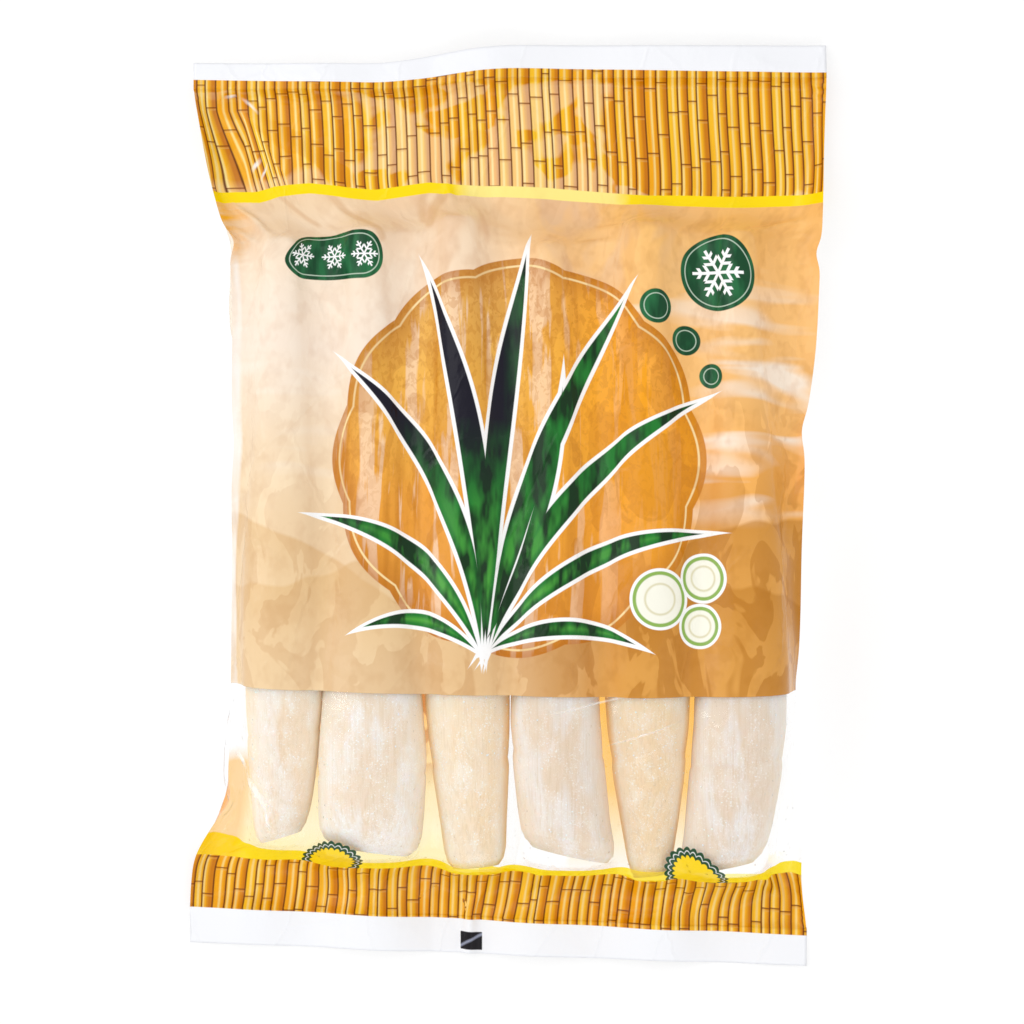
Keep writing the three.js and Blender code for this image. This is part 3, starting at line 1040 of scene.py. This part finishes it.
# where the printed layers cling together, their colour reads deep: wide soft-cornered patches
clinging = {
    "grain": (24.0, 18.0),      # mm, wide and tall
    "patches": (0.56, 0.60),
    "patchDepth": 0.6,
    "edge": 1.3,                # mm, softness of an edge
    "seals": (12.0, 284.0),     # mm down, all clings above the one and below the other
    "capsules": [               # from, to, radius and depth of patches that are always there
        ((-106, 30), (-62, 28), 16.0, 0.55),
        ((-94, 17), (-58, 44), 4.6, 1.0),
        ((-44, 10), (-28, 16), 5.6, 1.0),
        ((-20, 42), (-12, 32), 3.0, 1.0),
        ((54, 26), (104, 26), 23.0, 0.85),
    ],
}


def clingField(place, onBack):
    grain = noise(place, *clinging["grain"], 3.7, 2.0, 0.8)
    patches = put("MapRange", put("MULTIPLY_ADD", onBack, 0.03, grain), *clinging["patches"],
                  0.0, clinging["patchDepth"])
    shift = put("MULTIPLY_ADD", noise(place, 9, 9, 6.2, 1.0), 10.0, -5.0)
    soft = clinging["edge"]
    capsules = [inside(capsule(place, start, end)[0] + shift, radius, soft) * depth
                for start, end, radius, depth in clinging["capsules"]]
    top, low = clinging["seals"]
    near = place[1] + shift
    return highest(patches, *capsules, inside(near, top, soft), put("MapRange", near, low - soft, low + soft))


# front print: a misty warm landscape with a gold medallion, reed leaves and small green labels
ink = {
    "left": [(0.0, "#F4D6B0"), (0.12, "#F8E2C8"), (0.32, "#F9E8D6"), (0.52, "#F7DFBE"), (0.66, "#F6DBB4"),
             (1.0, "#F5DAB2")],
    "right": [(0.0, "#F9C070"), (0.2, "#FCC57C"), (0.4, "#FCC47A"), (0.56, "#FAB55E"), (0.66, "#F2B05A"),
              (1.0, "#EAAC58")],
    "beige": "#E9C19A",
    "notch": "#FBB62C",
    "mist": "#FFF6EA",
    "hills": ("#E0B77E", "#BD7A1C"),
    "soaked": "#B06C0C",
    "drape": "#DDB488",
    "stripe": "#FFE000",
    "stripePale": "#FFF09A",
    "lowStripe": "#FFE000",
    "gel": "#FFEC4A",
    "header": "#F5F6FA",
    "gold": [(0.0, "#E9B360"), (0.3, "#F3B84E"), (0.6, "#EFA43C"), (1.0, "#D98A2C")],
    "glow": "#FAA400",
    "goldStreak": "#FFE3C6",
    "goldGrain": "#BE7414",
    "goldRim": "#B3670F",
    "goldLine": "#FBDFA4",
    "leafDeep": "#06300F",
    "leaf": "#1E7A2C",
    "leafBright": "#55AE3E",
    "leafNight": "#0D0A1C",
    "label": "#0B4526",
    "labelPale": "#236B3F",
    "labelLine": "#CFE0CC",
    "outline": "#FFFFFF",
    "sliceRim": "#8FB457",
    "slice": "#FBF9EA",
    "sliceRing": "#DED7B2",
    "rosetteCore": "#F9D413",
    "mark": "#0E0A10",
    # a painted reflection on the eye mark
    "markShine": "#A9AFC6",
}


def panelGround(place, onFlesh):
    x, down = place
    fall = put("MapRange", down, layout["stripe"], layout["panel"])
    side = put("MapRange", put("MULTIPLY_ADD", noise(place, 40, 60, 4.9, 1.0), 60.0, x), 0.0, 72.0)
    beige = patches(place, "beige") * put("MapRange", fall, 0.36, 0.1)
    beige = beige * put("MapRange", abs(x - 5.0), 70.0, 20.0)
    cloud = patches(place, "mist") * inside(fall, 0.64, 0.04) * put("MapRange", fall, 0.14, 0.3)
    cloud = cloud * put("MapRange", x, 10.0, 60.0, 0.4, 1.0)
    ground = layered(colourBand(fall, ink["left"]), side, colourBand(fall, ink["right"]), beige, ink["beige"],
                     cloud, ink["mist"])
    land = put("Mix", side, *ink["hills"])
    dip = (x + 8.0) * (1 / 56)
    dip = put("EXPONENT", dip * dip * -1.0)
    for number, (crest, deep, swing) in enumerate(((0.645, 0.25, 0.07), (0.80, -0.10, 0.14))):
        ridge = noise((x, 0.0), 32, 1.0, 5.3 + number)
        line = put("MULTIPLY_ADD", dip, deep, crest + swing / 2)
        over = fall - put("MULTIPLY_ADD", ridge, -swing, line)
        shade = put("MapRange", over, 0.0, 0.007) * put("MapRange", over, 0.0, 0.2, 0.6, 0.16)
        ground = put("Mix", shade, ground, land)
    # the film reads darker where it is wet with frost on the flesh, in crisp-edged patches
    patch = put("MULTIPLY_ADD", onFlesh, 0.04, noise(place, 15, 30, 8.2, 3.0, 1.0))
    soaked = put("MapRange", patch, 0.52, 0.54)
    amount = put("MapRange", fall, 0.35, 0.8, 0.08, 0.5) * put("MapRange", side, 0.0, 1.0, 0.35, 1.0)
    stain = patches(place, "stain") * put("MapRange", side, 0.0, 1.0, 0.6, 1.0)
    return layered(ground, soaked * amount, ink["soaked"], stain, ink["soaked"]), soaked


def medallion(place, soaked):
    x, down = place
    centreX, centreY, radius = artwork["medallion"]
    edge = disc(place, *artwork["medallion"], *artwork["lobes"])
    drop = put("MapRange", down, centreY - radius, centreY + radius)
    glow = put("MapRange", x, -10.0, 40.0, 0.0, 0.9) * put("MapRange", drop, 0.35, 0.85, 1.0, 0.25)
    gold = layered(
        colourBand(drop, ink["gold"]), glow, ink["glow"],
        patches(place, "goldGrain") * put("MapRange", x, 40.0, 5.0, 0.2, 1.0), ink["goldGrain"],
        patches(place, "goldStreak") * put("MapRange", x, 42.0, 4.0, 0.12, 1.0), ink["goldStreak"],
        patches(place, "mottle") * put("MapRange", drop, 0.75, 0.1, 0.25, 1.0), ink["goldGrain"],
        put("MapRange", edge, -10.0, 0.0, 0.0, 0.6), ink["goldRim"],
        ring(edge, -2.6, 0.35), ink["goldLine"], soaked * 0.25, ink["goldRim"])
    return inside(edge), gold


def frontArt(place):
    # leaves, cut rounds and labels: where they lie, and their colour there
    x, down = place
    blades = 30.0
    for blade in artwork["blades"]:
        blades = put("MINIMUM", blades, bladeEdge(place, *blade))
    tone = patches(place, "leafTone")
    bright = put("MapRange", blades, -0.7, -2.0) * put("MapRange", down, 150.0, 190.0) * tone
    night = put("MapRange", down, 160.0, 130.0) * put("MapRange", x, 8.0, -6.0)
    leaf = layered(ink["leafDeep"], tone, ink["leaf"], bright * 0.8, ink["leafBright"],
                   night, ink["leafNight"])
    shown, colour = [inside(blades, artwork["outline"])], layered(ink["outline"], inside(blades), leaf)
    for spot in artwork["slices"]:
        edge = disc(place, *spot)
        face = layered(ink["sliceRim"], inside(edge, -1.2, 0.2), ink["slice"],
                       ring(edge, -spot[2] * 0.45, 0.3, 0.3), ink["sliceRing"])
        shown.append(inside(edge, 1.0))
        colour = layered(colour, shown[-1], ink["outline"], inside(edge), face)
    pill = artwork["pill"]
    pillEdge = slab(place, *pill, pill[3] - 0.1)
    green = pillEdge
    for spot in (artwork["badge"], *artwork["dots"]):
        green = put("MINIMUM", green, disc(place, *spot))
    middle, step = artwork["pillFlake"][0], artwork["pillStep"]
    wrapped = put("WRAP", x, middle + step / 2, middle - step / 2)
    white = inside(flake((wrapped, down), *artwork["pillFlake"]), 0.0, 0.1) * inside(pillEdge, -1.8)
    white = highest(white, inside(flake(place, *artwork["badgeFlake"]), 0.0, 0.1))
    label = put("Mix", tone, ink["label"], ink["labelPale"])
    colour = layered(colour, inside(green, artwork["bleed"]), label,
                     ring(green, -1.5, 0.14), ink["labelLine"], white, ink["outline"])
    return highest(*shown, inside(green)), colour


def readPrint():
    # x and down, the pale halo beside the flesh (frost on the film and painted glow), cling to the flesh,
    # cling to the other layer, mm from the crease
    found = []
    for name in ("printPlace", "filmTouch"):
        part = put("SeparateXYZ", put("Attribute", attribute_name=name)["Vector"])
        found += [part[0], part[1], part[2]]
    return found[:2], *found[2:]


# painted highlights: white glints along hard creases of the film, as lines across the print from (x, down) to
# (x, down), and their half width
glintLines = {
    "canes": [((-96, 15), (-91, 14), 0.6), ((-90, 15), (-84, 22), 0.45),
              ((-95, 42), (-88, 38), 0.7), ((-92, 46), (-85, 40), 0.45)],
    "window": [((-103, 246), (-95, 253), 1.0), ((-99, 250), (-84, 266), 1.2), ((-88, 262), (-84, 272), 0.5),
               ((10, 229), (45, 221), 0.22), ((30, 240), (60, 230), 0.22)],
}


# painted highlight: how white a crease glints along its line, broken up by the fine crinkles
def creaseGlint(place, fine, lines):
    shifted = (place[0] + put("MULTIPLY_ADD", fine, 3.0, -1.5), place[1])
    total = 0.0
    for start, end, half in lines:
        away, along = capsule(shifted, start, end)
        total = highest(inside(away, half, 0.35) * put("PINGPONG", along * 2.0, 1.0), total)
    return total * put("MapRange", fine, 0.36, 0.5, 0.55, 1.0)


def crinkles(place):
    # fine crinkles, deeper in patches, and long creases
    x, down = place
    fine = noise(place, 4.0, 6.0, 0.4)
    warp = put("CombineXYZ", put("MULTIPLY_ADD", fine, 0.12, x * (1 / 34)),
               put("MULTIPLY_ADD", x, 0.012, down * (1 / 46)), 3.3)
    crease = put("TexVoronoi", {"Vector": warp, "Scale": 1.0, "Randomness": 1.0},
                 feature="DISTANCE_TO_EDGE", voronoi_dimensions="2D")
    crease = put("MapRange", crease, 0.0, 0.03, 1.0, 0.0)
    return fine, put("MULTIPLY_ADD", crease, 0.9, fine * patches(place, "crinkled"))


def dewDrops(place):
    cells = put("TexVoronoi", {"Vector": put("CombineXYZ", *place), "Scale": 1 / 3.4, "Randomness": 1.0},
                voronoi_dimensions="2D")
    chance = put("SeparateColor", cells["Color"])
    return put("MapRange", cells["Distance"], 0.15, 0.04) * put("MapRange", chance, 0.58, 0.66)


def dented(height):
    return put("Bump", {"Strength": 1.0, "Distance": 0.14 * mm, "Height": height})


def inked(colour, normal):
    # solid ink under a glossy skin
    return put("BsdfPrincipled", {"Base Color": colour, "Roughness": 0.24, "Normal": normal,
                                  "Specular IOR Level": 0.2})


def seeThrough(colour, cover, through, normal):
    # thin or missing ink: tinted like a gel, with the film's own gloss
    film = put("MixShader", cover, put("BsdfTransparent", through), inked(colour, normal))
    facing = put("LayerWeight", {"Blend": 0.5, "Normal": normal})["Facing"]
    mirror = put("MapRange", put("POWER", facing, 4.0), 0.0, 1.0, 0.025, 0.7)
    gloss = put("BsdfGlossy", {"Color": (1, 1, 1, 1), "Roughness": 0.14, "Normal": normal})
    return put("MixShader", mirror * (1.0 - cover), film, gloss)


def filmSurface(down, caneSkin, middleSkin, rest):
    # ink hides everything in the canes at both ends and in the middle print between them
    solid = band(down, "header", "canes") + band(down, "stripe", "panel")
    solid = solid + band(down, "lowStripe", "lowCanes")
    middle = (layout["canes"] + layout["lowStripe"]) / 2
    ends = put("GREATER_THAN", abs(down - middle), layout["lowStripe"] - middle - 1)
    surface = put("MixShader", solid, rest, put("MixShader", ends, middleSkin, caneSkin))
    # light falls through the window alone, for the shadows below the film
    clear = put("BsdfTransparent", (*[clearFilm["light"]] * 3, 1))
    shadow = put("MixShader", band(down, "panel", "lowStripe"), put("BsdfDiffuse"), clear)
    put("OutputMaterial", put("MixShader", put("LightPath")["Is Shadow Ray"], surface, shadow))


# co-extruded film, reverse printed: the ink lies under a glossy skin
clearFilm = {
    "haze": "#FFFDF8",
    # colours of the halo beside the shoots: frost on the film and painted glow
    "frostWarm": "#FFF0D2",
    "frostCold": "#FBF6F0",
    "flap": "#FDFBF8",
    "light": 0.93,      # share of light that falls through
}


def printedFilmMaterial():
    material = newMaterial("reversePrintedFilm")
    place, haloBeside, onFlesh, onBack, fromCrease = readPrint()
    x, down = place
    fine, height = crinkles(place)
    flat = dented(height)
    # painted highlight: white glints on the creases over the canes
    cane = layered(caneColour(place, clingField(place, onBack)),
                   creaseGlint(place, fine, glintLines["canes"]) * 0.85, "#FFFFFF")
    # landscape, with painted shade along folds, a darker fan where the side is pinched and pale light along
    # the crease
    ground, soaked = panelGround(place, onFlesh)
    # painted shade: the ground darkens along each fold
    for start, end, half in artwork["drapes"]:
        away = capsule(place, start, end)[0]
        ground = put("Mix", put("MapRange", away, half + 0.9, half - 0.5, 0.0, 0.55), ground, ink["drape"])
    reach = put("MULTIPLY_ADD", abs(down - 57.0), 0.6, fromCrease)
    flap = patches(place, "flap") * put("MapRange", fromCrease, 3.6, 2.2) * put("MapRange", down, 70.0, 78.0)
    ground = layered(ground, patches(place, "rays") * put("MapRange", reach, 17.0, 4.0), ink["notch"],
                     flap * 0.8, clearFilm["flap"])
    # each part of the middle print has its own skin, so that only the one in sight is worked out
    share, gold = medallion(place, soaked)
    shown, art = frontArt(place)
    middle = put("MixShader", share, inked(ground, flat), inked(gold, flat))
    middle = put("MixShader", shown, middle, inked(art, flat))
    # yellow stripes, the clear window and the white ends
    loose = put("MapRange", abs(x - 9.0), 30.0, 24.0)
    loose = loose * put("MapRange", down, layout["panel"], layout["stripe"])
    touch = put("MapRange", onFlesh, 0.2, 1.0, 0.0, 0.3)
    low = inside(down + put("MapRange", x, -66.0, -100.0, 0.8, 4.6), layout["window"], -layout["soft"])
    # the pale halo along each shoot's outline: frost on the film, and painted glow that lightens the shoots'
    # shaded flanks, warmer at the left
    haloHaze = haloBeside * put("MapRange", down, layout["panel"], layout["panel"] + 25, 0.03, 0.15)
    haze = highest(patches(place, "cloudy"), haloHaze)
    warm = put("MapRange", x, -30.0, 20.0, 1.0, 0.25)
    haloTint = put("Mix", warm, clearFilm["frostCold"], clearFilm["frostWarm"])
    inWindow = windowShare(down)
    # painted highlight: white glints on the creases in the window, which also thicken the cover and raise the
    # bump
    white = creaseGlint(place, fine, glintLines["window"])
    colour = layered(
        ink["header"],
        put("MapRange", down, layout["header"] + 4, layout["header"] + 5),
        put("Mix", highest(loose * 0.8, touch), ink["stripe"], ink["stripePale"]),
        inWindow, put("Mix", haloBeside, clearFilm["haze"], haloTint),
        low, put("Mix", touch, ink["lowStripe"], ink["stripePale"]),
        white * 0.9, "#FFFFFF")
    cover = put("Mix", inWindow, 1.0, haze, data_type="FLOAT")
    cover = highest(put("Mix", low, cover, 0.5, data_type="FLOAT"), white * 0.9)
    for centreX, up, radius in artwork["rosettes"]:
        edge = disc(place, centreX, layout["lowStripe"] - up, radius, *artwork["scallops"])
        badge = layered(ink["label"], inside(edge, -2.8), ink["rosetteCore"],
                        ring(edge, -1.4, 0.14), ink["outline"])
        colour = put("Mix", inside(edge), colour, badge)
        cover = highest(cover, inside(edge) * 0.97)
    below = put("MapRange", down, layout["lowCanes"] - 3, layout["lowCanes"] - 2)
    markX, up, *halves = artwork["eyeMark"]
    markDown = flatLength - up + 0.2
    mark = slab(place, markX, markDown, *halves, 0.3)
    # painted reflection: a pale slanting streak across the dark eye mark
    slant = put("MULTIPLY_ADD", x, 0.45, down - (markDown + markX * 0.45))
    dark = put("Mix", ring(slant, -0.2, 0.3, 0.5), ink["mark"], ink["markShine"])
    colour = layered(colour, below, ink["header"], inside(mark), dark)
    wet = put("MULTIPLY_ADD", dewDrops(place) * inWindow * (1.0 - low), 2.6,
              put("MULTIPLY_ADD", white, 1.6, height))
    rest = seeThrough(colour, highest(cover, below), put("Mix", low, "#FFFFFF", ink["gel"]), dented(wet))
    filmSurface(down, inked(cane, flat), middle, rest)
    return material


# the same web behind: canes at both ends, one half tinted like a gel, the other half clear, with a band of
# painted warm glow on it
behind = {
    "tint": [(0.0, "#F0A24C"), (0.22, "#FFC878"), (0.45, "#FFE3A6"), (0.75, "#FFF3C8"), (1.0, "#FFF2B0")],
    "tintRight": [(0.0, "#FFBC48"), (0.5, "#FFC658"), (0.8, "#FFF0CC"), (1.0, "#FFFFFF")],
    # x between which the clear half carries painted warm glow
    "right": (22.0, 74.0),
    "blotch": "#CE7A22",
    "peach": "#FCD49A",
    "cream": "#FBEBD6",
    "gel": "#FFF6A0",
    "edge": -3.0,
    "late": 5.0,        # mm, how much lower the back's lower canes start
}


def backFilmMaterial():
    material = newMaterial("reversePrintedBackFilm")
    (x, down), haloBeside, onFlesh, onBack, fromCrease = readPrint()
    down = down - put("MapRange", down, 240.0, 250.0, 0.0, behind["late"])
    place = (x, down)
    normal = dented(crinkles(place)[1])
    fall = put("MapRange", down, layout["panel"], layout["window"])
    blotch = patches(place, "blotch")
    flapTint = put("Mix", put("MapRange", fall, 0.34, 0.40), "#FFFFFF", behind["peach"])
    tint = layered(colourBand(fall, behind["tint"]),
                   blotch * put("MapRange", fall, 0.52, 0.24), behind["blotch"],
                   put("MapRange", fromCrease, 17.0, 13.0), flapTint)
    left, right = behind["right"]
    # painted light: warm glow on the clear half between those x, orange at the top of the window and white at
    # its foot
    inBounceBand = inside(x, right, 1.0) * put("MapRange", x, left - 1, left + 1)
    clear = put("Mix", inBounceBand, "#FFFFFF", colourBand(fall, behind["tintRight"]))
    gel = layered(tint, put("MapRange", x, behind["edge"] - 0.3, behind["edge"] + 0.3), clear,
                  put("MapRange", down, layout["window"] - 1.0, layout["window"] - 0.8), behind["gel"])
    inWindow = windowShare(down)
    cane = caneColour(place, put("MapRange", onBack, 0.0, 1.0, 0.4, 1.0))
    half = flatLength / 2
    ends = put("MapRange", abs(down - half), half - 12, half - 11)
    cover = highest(put("MapRange", inWindow, 0.0, 1.0, 1.0, 0.01), ends)
    rest = seeThrough(put("Mix", ends, ink["stripe"], ink["header"]), cover, gel, normal)
    filmSurface(down, inked(cane, normal), inked(behind["cream"], normal), rest)
    return material


# peeled, blanched and frozen stem: milky flesh, fine upright fibres, small white specks of frost, and painted
# light on the flanks
stem = {
    "flesh": "#EDDDCB",
    "pale": "#F1ECE9",
    "warm": "#F8DDB0",
    "fibre": "#D8C19C",
    "frost": "#FFFFFF",
    # painted light: the flanks are painted lighter (edge) and, on the warmer shoots, orange (rim), and the
    # rim glows by itself (rimGlow)
    "edge": "#FFF3E0",
    "rim": "#FFC24C",
    "rimGlow": 0.14,
    "fibreGrain": (0.55, 30.0, 2.0, 0.5),     # mm wide and tall, detail and roughness
    "cloudGrain": (8.0, 26.0, 2.0, 0.5),
    "rimeGrain": (0.55, 0.6, 2.0, 0.6),
    "patchGrain": (5.0, 9.0, 4.0, 0.7),
    "rightShade": "#F8F6F4",        # the right half lies a little darker
}


def fleshMaterial():
    material = newMaterial("frozenPeeledStem")
    spot = put("TexCoord")["Object"]
    feel = put("SeparateXYZ", put("Attribute", attribute_name="fleshPlace")["Vector"])
    warmth, along, flank = feel[0], feel[1], feel[2]

    def grain(wide, tall, detail, roughness):
        at = put("Mapping", {"Vector": spot, "Scale": (1 / (wide * mm), 1 / (tall * mm), 1 / (wide * mm))})
        return put("TexNoise", {"Vector": at, "Scale": 1.0, "Detail": detail, "Roughness": roughness})

    fibre, cloud, rime, patch = [grain(*stem[name + "Grain"]) for name in ("fibre", "cloud", "rime", "patch")]
    base = put("MapRange", along, 0.42, 0.12)
    streak = put("MapRange", fibre, 0.46, 0.68) * put("MapRange", base, 0.0, 1.0, 0.12, 0.36)
    speck = put("MapRange", rime, 0.57, 0.64) * put("MapRange", patch, 0.42, 0.56, 0.1, 0.85)
    milk = put("MapRange", patch, 0.48, 0.7, 0.0, 0.35)
    # painted light: lighter flanks, and an orange rim on the warmer shoots
    colour = layered(
        put("Mix", put("MapRange", cloud, 0.42, 0.56), stem["flesh"], stem["pale"]),
        warmth * 0.75, stem["warm"], streak, stem["fibre"], highest(speck, milk), stem["frost"],
        flank * 0.6, stem["edge"], put("MapRange", flank, 0.6, 0.95, 0.0, 0.9) * warmth, stem["rim"])
    across = put("MapRange", put("SeparateXYZ", spot), -12 * mm, 8 * mm)
    dim = put("Mix", across, "#FFFFFF", stem["rightShade"])
    colour = put("Mix", 1.0, colour, dim, data_type="RGBA", blend_type="MULTIPLY")
    height = put("MULTIPLY_ADD", fibre, 0.4, rime)
    bump = put("Bump", {"Strength": 0.5, "Distance": 0.12 * mm, "Height": height})
    # painted light: the orange rim also glows, though no lamp is there
    glow = put("Mix", put("MapRange", flank, 0.8, 1.0) * warmth, "#000000", stem["rim"])
    body = {"Base Color": colour, "Roughness": 0.6, "Normal": bump, "Specular IOR Level": 0.25,
            "Subsurface Weight": 0.75, "Subsurface Scale": 8 * mm, "Subsurface Radius": (1.0, 0.8, 0.6),
            "Emission Color": glow, "Emission Strength": stem["rimGlow"]}
    put("OutputMaterial", put("BsdfPrincipled", body))
    return material


# ice grains: bright and a little glassy
def iceMaterial():
    material = newMaterial("frostGrain")
    spot = put("Mapping", {"Vector": put("TexCoord")["Object"], "Scale": (900.0, 900.0, 900.0)})
    tone = put("TexNoise", {"Vector": spot, "Scale": 1.0, "Detail": 1.0})
    body = {"Base Color": put("Mix", tone, "#EFF3F6", "#FFFFFF"), "Roughness": 0.18, "Subsurface Weight": 0.3,
            "Subsurface Scale": 0.5 * mm}
    put("OutputMaterial", put("BsdfPrincipled", body))
    return material


printMaterial, backMaterial = printedFilmMaterial(), backFilmMaterial()
stemMaterial, grainMaterial = fleshMaterial(), iceMaterial()
for material, pieces in ((printMaterial, (frontFilm, topSealPiece, bottomSealPiece)),
                         (backMaterial, (backFilm, backFin)), (stemMaterial, shoots)):
    for piece in pieces:
        piece.data.materials.append(material)
print("materials ready")


# frost: grains of ice on the flesh, scattered by a node tree and made plain mesh

frost = {
    "density": 90000.0,          # grains a square metre where frost is heaviest
    "size": (0.12, 0.36),        # mm, radius
    "seed": 5,
    "stretch": ((0.6, 0.6, 0.35), (1.4, 1.4, 0.9)),
}


def frostTree():
    tree = bpy.data.node_groups.new("scatterFrost", "GeometryNodeTree")
    bench["tree"] = tree
    for name, kind in (("Flesh", "Geometry"), ("Density", "Float"), ("Smallest", "Float"),
                       ("Largest", "Float"), ("Seed", "Int"), ("Ice", "Material")):
        tree.interface.new_socket(name, in_out="INPUT", socket_type="NodeSocket" + kind)
    tree.interface.new_socket("Grains", in_out="OUTPUT", socket_type="NodeSocketGeometry")
    given = put("NodeGroupInput")
    share = put("GeometryNodeInputNamedAttribute", "frostShare", data_type="FLOAT")
    points = put("GeometryNodeDistributePointsOnFaces",
                 {"Mesh": given["Flesh"], "Density": given["Density"] * share, "Seed": given["Seed"]})
    ball = put("GeometryNodeMeshIcoSphere", {"Radius": 1.0, "Subdivisions": 1})
    low, high = frost["stretch"]
    shape = put("FunctionNodeRandomValue", {"Min": low, "Max": high, "Seed": given["Seed"]},
                data_type="FLOAT_VECTOR")
    size = put("FunctionNodeRandomValue", given["Smallest"], given["Largest"], data_type="FLOAT")
    grains = put("GeometryNodeInstanceOnPoints",
                 {"Points": points, "Instance": ball, "Rotation": points["Rotation"],
                  "Scale": put("VectorMath", shape, size, operation="SCALE")})
    solid = put("GeometryNodeRealizeInstances", grains)
    put("NodeGroupOutput", put("GeometryNodeSetMaterial", {"Geometry": solid, "Material": given["Ice"]}))
    return tree


def frostGrains():
    # one mesh of all the flesh, with how much frost each point carries
    points, faces, count = [], [], 0
    for piece in shoots:
        points.append(meshValues(piece.data.vertices, "co") / mm)
        faces += [[index + count for index in face.vertices] for face in piece.data.polygons]
        count += len(points[-1])
    points = np.concatenate(points)
    source = makePiece("frostGrains", points, faces)
    up = meshValues(source.data.vertices, "normal")[:, 2]
    turn = np.random.default_rng(frost["seed"]).uniform(0, 6, 4)
    x, y = points[:, 0], points[:, 1]
    cloud = np.sin(x / 7 + turn[0]) * np.sin(y / 11 + turn[1])
    cloud = cloud + np.sin(x / 3.1 + turn[2]) * np.sin(y / 4.3 + turn[3])
    share = smooth(-0.1, 0.5, up) * smooth(-40, -70, y) * smooth(-0.6, 1.6, cloud)
    layer = source.data.attributes.new("frostShare", "FLOAT", "POINT")
    layer.data.foreach_set("value", share.astype(np.float32))
    tree = frostTree()
    scatter = source.modifiers.new("scatter", "NODES")
    scatter.node_group = tree
    smallest, largest = frost["size"]
    values = {"Density": frost["density"], "Smallest": smallest * mm, "Largest": largest * mm,
              "Seed": frost["seed"], "Ice": grainMaterial}
    for item in tree.interface.items_tree:
        if item.name in values:
            scatter[item.identifier] = values[item.name]
    graph = bpy.context.evaluated_depsgraph_get()
    mesh = bpy.data.meshes.new_from_object(source.evaluated_get(graph), depsgraph=graph)
    source.modifiers.clear()
    source.data = mesh
    return source


grains = frostGrains()
print("frost grains:", len(grains.data.polygons), "faces")


# riding and replacing: each piece rides on the root and hides the solids that it stands in for, if any

for piece, slot, *nodes in (
        (frontFilm, "front_print", "front_film"),
        (backFilm, "back_print", "back_film_left", "back_film_right"),
        (backFin, "back_print", "back_seam"),
        (topSealPiece, "sealed_film", "top_end_seal"),
        (bottomSealPiece, "sealed_film", "bottom_end_seal"),
        (grains, "shoot_flesh"),
        *[(piece, "shoot_flesh", node) for piece, node in zip(shoots, shootNodes)]):
    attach(piece, root)
    if nodes:
        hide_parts(*nodes)


# stage, light and camera

studio = {
    "lens": 120.0,
    "viewWidth": 342.0,         # mm across the view at the height of the bag
    "aim": (1.3, -2.0, 1.0),
    "world": 0.72,
    "floorHalf": 2500.0,        # mm
    "floorShine": 1.04,
    "floorGlow": (0.98, 0.42),  # how far the floor shines for the eye, under the bag and away from it
    "glowHalf": (96, 139),      # mm
    "glowFade": 20,
    "lamps": [                  # place, size in m, watts
        ((-0.70, 0.60, 1.20), (1.1, 1.1), 5.2),
        ((0.95, -0.35, 1.25), (1.0, 1.0), 1.5),
        ((0.10, -1.15, 0.95), (1.2, 0.6), 3.0),
        ((-1.15, 0.05, 0.62), (0.12, 1.0), 2.0),
    ],
}


def seenRay():
    # 1 for what the eye sees, straight or mirrored or through glass
    path = put("LightPath")
    return highest(path["Is Camera Ray"], path["Is Glossy Ray"], path["Is Transmission Ray"])


def makeStage():
    corners = np.array([[-1, -1, 0], [1, -1, 0], [1, 1, 0], [-1, 1, 0]]) * studio["floorHalf"]
    floor = makePiece("floor", corners, [[0, 1, 2, 3]])
    floor.data.materials.append(newMaterial("paleTable"))
    paint = put("BsdfPrincipled", {"Base Color": "#FFFFFF", "Roughness": 0.9, "Specular IOR Level": 0.1})
    glow = put("Emission", "#FFFFFF", studio["floorShine"])
    spot = put("SeparateXYZ", put("TexCoord")["Object"])
    offs = [abs(spot[axis]) - half * mm for axis, half in enumerate(studio["glowHalf"])]
    share = put("MapRange", highest(*offs), 0.0, studio["glowFade"] * mm, *studio["floorGlow"])
    put("OutputMaterial", put("MixShader", seenRay() * share, paint, glow))
    world = bpy.data.worlds.new("studioAir")
    bpy.context.scene.world = world
    world.use_nodes = True
    bench["tree"] = world.node_tree
    world.node_tree.nodes.clear()
    strength = put("MapRange", seenRay(), 0.0, 1.0, studio["world"], 1.0)
    put("OutputWorld", put("Background", "#FFFFFF", strength))
    for number, (place, size, power) in enumerate(studio["lamps"]):
        lamp = bpy.data.lights.new(f"softbox{number + 1}", "AREA")
        lamp.shape = "RECTANGLE"
        lamp.size, lamp.size_y = size
        lamp.energy = power
        stand(lamp, place).rotation_euler = (-Vector(place)).to_track_quat("-Z", "Y").to_euler()


def stand(thing, place):
    # puts a lamp or the camera in the scene
    holder = bpy.data.objects.new(thing.name, thing)
    holder.location = place
    bpy.context.scene.collection.objects.link(holder)
    return holder


def makeCamera():
    camera = bpy.data.cameras.new("camera")
    camera.lens = studio["lens"]
    away = studio["viewWidth"] * camera.lens / camera.sensor_width
    bpy.context.scene.camera = stand(camera, (Vector(studio["aim"]) + Vector((0, 0, away))) * mm)


makeStage()
makeCamera()
bpy.context.scene.view_settings.view_transform = "Standard"

print("dressed")
